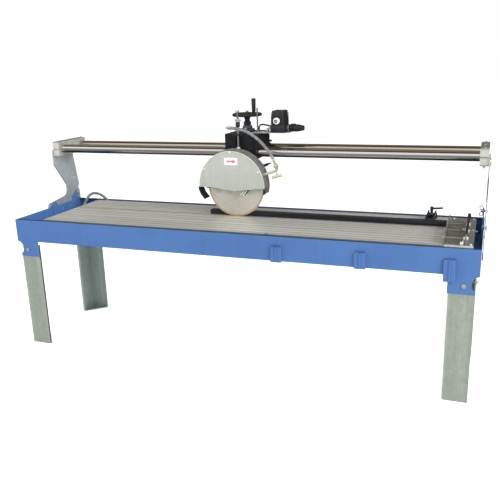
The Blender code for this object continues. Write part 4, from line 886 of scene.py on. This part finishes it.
def make_guard_details():
    low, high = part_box("guard_cover")
    radius = (high.x - low.x) / 2
    centre = Vector(((low.x + high.x) / 2, low.y, high.z - radius))
    # Folded edge along the rim, in the pale zinc as a painted highlight
    edges = []
    for u, v in ((-0.4, -1.6), (-3.6, -0.9)):
        turns = [radians(-2.5 + 185 * i / 90) for i in range(91)]
        path = [centre + (X * cos(t) + Z * sin(t)) * (radius + u * MM) + Y * v * MM for t in turns]
        edges.append((sweep, path, 1.5, 8))
    piece("cover_edge", "bright", "head", *edges)
    for number, (degree, share) in enumerate(((91, 0.965), (150, 0.945), (27, 0.925))):
        t = radians(degree)
        spot = centre + (X * cos(t) + Z * sin(t)) * radius * share
        piece(f"cover_screw_{number}", "bright", "head", (pan_head, spot, -Y, 7, 5))
    # Plain rotation label: white film with a broken arrow
    label = centre + (X * 2 + Z * 144.5) * MM
    piece("label_film", "film", "head", (slab, rounded_box(82, 42, 1.5), label, X, Z, 0.25))
    top = label - Y * 0.25 * MM
    bars = [(slab, rounded_box(7, 10, 1), top + X * u * MM, X, Z, 0.15) for u in (-22.5, -13.5, -4.5, 4.5)]
    arrow = [(9, -12), (30, 0), (9, 12), (11, 4), (9, 0), (11, -4)]
    piece("label_arrow", "red", "head", *bars, (slab, arrow, top, X, Z, 0.15))
    # Water jets under the cover's dip
    for number, shift in enumerate((0.0, 0.0145)):
        route = ((1.322, 0.184), (1.304, 0.163), (1.287, 0.146), (1.27, 0.129 - 0.3 * shift))
        path = smooth_path([at(x + shift, 0.344, z) for x, z in route])
        radii = [4.1] * (len(path) - 2) + [3.6, 2.6]
        piece(f"water_jet_{number}", "bright", "head", (sweep, path, radii, 12))
    # Backing plate and clamp of both jets, and the outer flange of the blade
    down, level = Vector((-0.69, 0, -0.72)).normalized(), Z * 0.69 - X * 0.72
    backing = (slab, rounded_box(62, 27, 3), at(1.303, 0.351, 0.155), down, level, 1.4)
    piece("jet_plate", "rubber", "head", backing)
    piece("jet_bridge", "black", "head", (slab, rounded_box(36, 8, 2), at(1.3095, 0.338, 0.16), X, Z, 3))
    flange = [(17, 0), (42, 0), (43, 0.8), (43, 3.0), (41, 4.2), (39, 4.2), (37, 3.2), (17, 3.6)]
    hub = at(1.239, 0.365, 0.17) - Y * 2 * MM
    piece("blade_flange", "bright", "spindle", (turn, flange, hub, -Y, 48))
    # Rubber strip at the guard's right foot
    foot = [(0, 0), (9, 2), (11, 20), (11, 36), (2, 36)]
    piece("foot_rubber", "rubber", "head", (slab, foot, at(1.406, 0.344, 0.134), X, Z, 8), bevel=0.6)
    # Clamp that joins the guard to the head plate, behind the guard's right shoulder
    start, reach = at(1.38, 0.42, 0.28), Vector((0.92, 0.0, 0.39)).normalized()
    tongue = [(-30, -14), (-6, -10), (2, 2), (-8, 22), (-40, 26)]
    piece("clamp_tongue", "guard", "head", (slab, tongue, start + Y * 5 * MM, X, Z, 4), bevel=0.6)
    ridges = []
    for i in range(8):
        wide = 11.0 - 0.55 * i
        ridges += [(wide - 1.6, 3 + 4.4 * i), (wide, 4.6 + 4.4 * i)]
    knob = [(0, -3), (6, -3), (6, 2), *ridges, (5.5, 39), (4.4, 41), (4.4, 52), (0, 53)]
    piece("clamp_knob", "plastic", "head", (turn, knob, start, reach, 18))
    # Slots and spokes of the fan cover at the motor's back
    fan = middle("motor")
    fan.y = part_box("motor")[1].y
    rings = []
    for inner in (14, 25, 36, 47):
        ring = [(inner, -0.4), (inner + 0.6, 0.8), (inner + 5.4, 0.8), (inner + 6, -0.4)]
        rings.append((turn, ring, fan, Y, 40))
    piece("fan_grille", "black", "head", *rings, (turn, drum(57, -0.2, 0.1), fan, Y, 40))
    spokes = []
    for spoke in range(6):
        t = radians(60 * spoke + 15)
        ends = [fan + ((X * cos(t) + Z * sin(t)) * along + Y * 0.6) * MM for along in (10, 56)]
        spokes.append((sweep, ends, 1.4, 8))
    cap = [(0, 0), (11, 0), (11, 1.4), (9, 2.2), (0, 2.4)]
    piece("fan_spokes", "motor", "head", *spokes, (turn, cap, fan, Y, 24))


WATER_HOSE = (
    (1.4598, 0.362, 0.3295), (1.448, 0.363, 0.352), (1.422, 0.366, 0.385), (1.377, 0.371, 0.429),
    (1.315, 0.377, 0.469), (1.252, 0.382, 0.487), (1.198, 0.384, 0.492),
)
PUMP_HOSE = (
    (0.125, 0.505, -0.0357), (0.125, 0.505, -0.025), (0.127, 0.513, -0.006), (0.13, 0.53, 0.014),
    (0.134, 0.55, 0.033), (0.146, 0.566, 0.046), (0.168, 0.576, 0.0505), (0.194, 0.585, 0.044),
    (0.216, 0.593, 0.029), (0.232, 0.6, 0.011), (0.262, 0.607, -0.022), (0.32, 0.607, -0.048),
    (0.38, 0.608, -0.056), (0.41, 0.613, -0.056), (0.427, 0.63, -0.056), (0.427, 0.6462, -0.056),
)
HOSE_RADIUS = 0.0085 * SCALE


def make_hose(name, route, body):
    """A ribbed water hose along its route, with a ferrule at each end."""
    path = even_path(smooth_path([at(*p) for p in route]), 1.6 * MM)
    wall = HOSE_RADIUS / MM
    ribs = [wall - (0.0 if i % 3 else 0.55) for i in range(len(path))]
    hose = piece(name + "_wall", "hose", body, (sweep, path, ribs, 16), replaces=[name])
    out, lip, grip = wall + 0.9, wall + 1.5, wall - 0.2
    ferrule = [(grip, 4), (out, 4.2), (lip, 5), (lip, 11), (out, 11.8), (grip, 12)]
    for label, spot, inner in (("start", path[0], path[8]), ("end", path[-1], path[-9])):
        along = (inner - spot).normalized()
        side = frame_of(along)[0]
        knuckle = (slab, rounded_box(7, 9, 1), spot + (along * 8 + side * (out + 1)) * MM,
                   along, along.cross(side), 4)
        piece(f"{name}_clip_{label}", "zinc", body, (turn, ferrule, spot, along, 24), knuckle)
    return path


def make_hoses():
    path = make_hose("water_hose", WATER_HOSE, "head")
    tip, along = path[-1], (path[-1] - path[-6]).normalized()
    coupler = [(0, -8), (5.6, -8), (5.6, 0.5), (9.4, 1), (9.4, 7), (7, 8), (5.2, 9), (4.6, 15), (5.4, 16),
               (4.4, 19), (0, 19)]
    piece("hose_coupler", "nickel", "head", (turn, coupler, tip, along, 20))
    # Wire clip with one loop round the hose and one round the depth rod
    rod = middle("depth_rod")
    nearest = min(path, key=lambda p: (p.x - rod.x) ** 2 + (p.y - rod.y) ** 2)
    rod.z = nearest.z + 2 * MM
    turns = [radians(a) for a in range(0, 360, 15)]
    over_hose = [nearest + (Y * cos(t) + Z * sin(t)) * (HOSE_RADIUS + 1.0 * MM) for t in turns]
    over_rod = [rod + (X * cos(t) + Y * sin(t)) * 8 * MM for t in turns]
    piece("hose_clip", "rod", "head", (sweep, over_hose, 1.3, 8, True), (sweep, over_rod, 1.3, 8, True))
    make_hose("pump_hose", PUMP_HOSE, "stand")
    collar = [(0, -4), (12, -4), (12.6, -2), (12.6, 3), (11, 3.6), (0, 3.6)]
    piece("pump_collar", "orange", "stand", (turn, collar, at(*PUMP_HOSE[0]), Z, 24))
    fitting = [(0, -7), (12, -7), (13, -6), (13, -1), (15.5, -0.6), (15.5, 0.6), (0, 0.6)]
    piece("wall_fitting", "nickel", "stand", (turn, fitting, at(*PUMP_HOSE[-1]), Y, 6))


# ---- stops -----------------------------------------------------------------


def make_stop_details():
    bush = [(4.6, 0), (9, 0), (9, 7), (8, 8), (4.6, 8)]
    for number, y in enumerate((0.054, 0.194, 0.325)):
        piece(f"stop_bushing_{number}", "bright", "stand",
              (turn, bush, at(2.48, y, 0.035), X, 6), (turn, bush, at(2.474, y, 0.035), -X, 6))
        nut = (nut_on_stud, at(2.3798, y, 0.035), -X, 6, 3.4, 3, 1)
        piece(f"stop_nut_{number}", "zinc", "cross_stop", nut)
    for number, y in enumerate((0.03, 0.286)):
        spot = at(2.462, y, 0.009)
        piece(f"stop_wing_{number}", "bright", "stand", (turn, drum(3, 0, 14), spot, Z, 14),
              (ring_wing, spot + Z * 6 * MM, Z, Y + X * 0.4, 7, 9, (8, 6), 2.2))
    for number, (x, y) in enumerate(((2.5, 0.04), (2.5, 0.3), (2.5, 0.545), (2.4, 0.545))):
        piece(f"base_bolt_{number}", "bright", "stand", (hex_head, at(x, y, 0.0086), Z, 6, 4))
    # Dark channel over the upright with its end cap, and a pale strip as a painted highlight on the front
    # edge of the base
    channel = [(-6, 0), (6, 0), (6, 14), (-6, 14)]
    piece("upright_rail", "black", "stand", (slab, channel, at(2.477, 0.462, 0.044), X, Z, 420), bevel=1)
    cap = (slab, rounded_box(17, 20, 4), at(2.477, 0.466, 0.0505), X, Z, 12)
    piece("upright_cap", "plastic", "stand", cap, bevel=1)
    edge = (slab, rounded_box(0.126 * SCALE / MM, 9, 1), at(2.449, 0.0224, 0.0045), X, Z, 1.2)
    piece("base_edge", "bright", "stand", edge, bevel=0.4)
    # Coil spring on the fence clamp, and the screws and caps at the fence's ends
    base, coil = at(2.289, 0.47, 0.0448), []
    for n in range(60):
        t = 2 * pi * n / 12
        coil.append(base + Vector((7.0 * cos(t), 7.0 * sin(t), 1.2 + n * 0.06)) * MM)
    piece("clamp_spring", "zinc", "fence", (sweep, coil, 0.8, 6))
    for number, (x, way) in enumerate(((2.266, -X), (2.3082, X))):
        for place, y in enumerate((0.468, 0.512)):
            screw = (pan_head, at(x, y, 0.041), way, 4.2, 2.8)
            piece(f"arm_screw_{number}_{place}", "zinc", "fence", screw)
    low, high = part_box("fence_bar")
    outline = rounded_box((high.y - low.y) / MM - 5, (high.z - low.z) / MM - 5, 2)
    for (name, way), x in zip(SIDES, (1.073, 2.371)):
        spot = (low + high) / 2
        spot.x = at(x, 0, 0).x - way.x * 3 * MM
        cap = (slab, outline, spot, Y * way.x, Z, 3.6)
        piece(f"fence_cap_{name}", "plastic", "fence", cap, bevel=0.6)


def on_depth_rod(z):
    """The place on the depth rod's axis at a height in drawing units."""
    spot = middle("depth_rod")
    spot.z = at(0, 0, z).z
    return spot


def make_depth_stop_details():
    """Rubber buffer, washer, nut and end cap of the depth rod."""
    buffer = [(6.8, 0)]
    for i in range(4):
        low = 6.8 * SCALE * i
        buffer += [(12.6, low + 0.8), (13.4, low + 3.4), (12.0, low + 6.4)]
    buffer.append((6.8, 27.3 * SCALE))
    piece("stop_buffer", "rubber", "depth_collar", (turn, buffer, on_depth_rod(0.4945), Z, 24))
    washer = [(7.0, 0), (15, 0), (15.4, 0.6), (15, 1.2), (7.0, 1.2)]
    piece("stop_washer", "bright", "depth_collar", (turn, washer, on_depth_rod(0.5357), Z, 24))
    piece("rod_nut", "bright", "head", (hex_head, on_depth_rod(0.377), Z, 10, 7))
    cap = [(0, -0.2), (8.6, -0.2), (8.6, 1.2), (7, 2.4), (0, 2.8)]
    piece("rod_cap", "bright", "head", (turn, cap, on_depth_rod(0.584), Z, 20))


def make_handwheel_details():
    hub = middle("handwheel")
    hub.z = at(0, 0, 0.564).z
    piece("wheel_nut", "zinc", "handwheel", (nut_on_stud, hub, Z, 8, 5, 4, 4))
    end = middle("crank_grip")
    end.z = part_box("crank_grip")[1].z
    cap = [(0, -0.5), (6, -0.5), (6, 0.4), (4, 0.8), (0, 0.9)]
    piece("grip_cap", "plastic", "crank_grip", (turn, cap, end, Z, 20))


# ---- stage -----------------------------------------------------------------


def make_floor():
    bpy.ops.mesh.primitive_plane_add(size=60)
    floor = bpy.context.active_object
    floor.name = "floor"
    f = Finish("floor_white", None, (0.9, 0.9, 0.9), 0.9)
    f.put("Base Color", f.blend(f.span(f.noise(2.0), 0.3, 0.7), (0.86, 0.86, 0.86), (0.88, 0.88, 0.88)))
    f.put("Emission Color", (1, 1, 1, 1))
    f.put("Emission Strength", 0.6)
    floor.data.materials.append(f.material)
    floor.visible_glossy = False


def make_world():
    """White surroundings for the camera, soft light for dull faces, and a room's bands for what shines."""
    world = bpy.data.worlds.new("studio")
    bpy.context.scene.world = world
    w = Tree(world)
    even = w.nodes["Background"]
    even.inputs["Color"].default_value = (1, 1, 1, 1)
    soft = w.add("Background", (0.97, 0.98, 1, 1), 0.58)
    around = w.add("TexCoord").outputs["Generated"]
    angle = w.sum(w.part(around, "Z"), w.times(w.part(around, "Y"), -1), "ARCTAN2")
    ramp = w.add("ValToRGB", w.span(angle, -pi, pi))
    # Degrees round the rails' axis: 0 ahead of the saw, 90 overhead, 180 behind it, -90 below
    bands = (
        (-180, (0.1, 0.1, 0.09)), (-120, (0.03, 0.03, 0.03)), (-70, (0.012, 0.012, 0.014)),
        (-56, (0.16, 0.18, 0.17)), (-20, (0.29, 0.32, 0.3)), (12, (0.38, 0.41, 0.39)),
        (18, (1.2, 1.14, 1.22)), (56, (1.1, 1.04, 1.12)), (64, (0.11, 0.09, 0.055)),
        (92, (0.09, 0.075, 0.045)), (112, (0.28, 0.24, 0.15)), (136, (0.32, 0.29, 0.21)),
        (150, (0.12, 0.11, 0.08)), (166, (0.24, 0.23, 0.2)), (176, (0.05, 0.05, 0.045)),
    )
    elements = ramp.color_ramp.elements
    while len(elements) < len(bands):
        elements.new(0.5)
    # Places first, because the ramp sorts its elements as they move
    for element, (degree, colour) in zip(elements, bands):
        element.position = (degree + 180) / 360
    for element, (degree, colour) in zip(elements, bands):
        element.color = (*colour, 1)
    room = w.add("Background", ramp.outputs["Color"])
    rays = w.add("LightPath").outputs
    shiny = w.add("MixShader", rays["Is Glossy Ray"], soft.outputs[0], room.outputs[0])
    seen = w.add("MixShader", rays["Is Camera Ray"], shiny.outputs[0], even.outputs[0])
    w.feed(w.nodes["World Output"].inputs["Surface"], seen.outputs[0])


def make_lamp(name, spot, aim, size, power, colour=(1, 1, 1), shine=True):
    data = bpy.data.lights.new(name, "AREA")
    data.shape = "RECTANGLE"
    data.size, data.size_y = size
    data.energy = power
    data.color = colour
    lamp = bpy.data.objects.new(name, data)
    lamp.matrix_world = Matrix.Translation(Vector(spot)) @ (
        (Vector(aim) - Vector(spot)).to_track_quat("-Z", "Y").to_matrix().to_4x4()
    )
    lamp.visible_glossy = shine
    bpy.context.scene.collection.objects.link(lamp)


def make_lamps():
    make_lamp("key", (5.6, -3.2, 4.0), (0, 0, 0.8), (3.2, 2.8), 390, (1.0, 0.99, 0.97), False)
    make_lamp("fill", (-4.5, -2.2, 2.6), (0, 0, 0.7), (2.6, 2.2), 110, (0.97, 0.98, 1.0), False)
    make_lamp("top", (0, -0.4, 4.2), (0, 0, 0.8), (5.0, 1.6), 45, (1, 1, 1), False)


# ---- scene -----------------------------------------------------------------

make_camera()
FINISHES = make_finishes()
make_hoses()
finish_nodes()
make_stand_hardware()
make_rim_details()
make_leg_hardware()
make_bridge_hardware()
make_carriage_details()
make_switch_details()
make_guard_details()
make_depth_stop_details()
make_handwheel_details()
make_stop_details()
make_floor()
make_world()
make_lamps()
bpy.context.scene.view_settings.view_transform = "Standard"
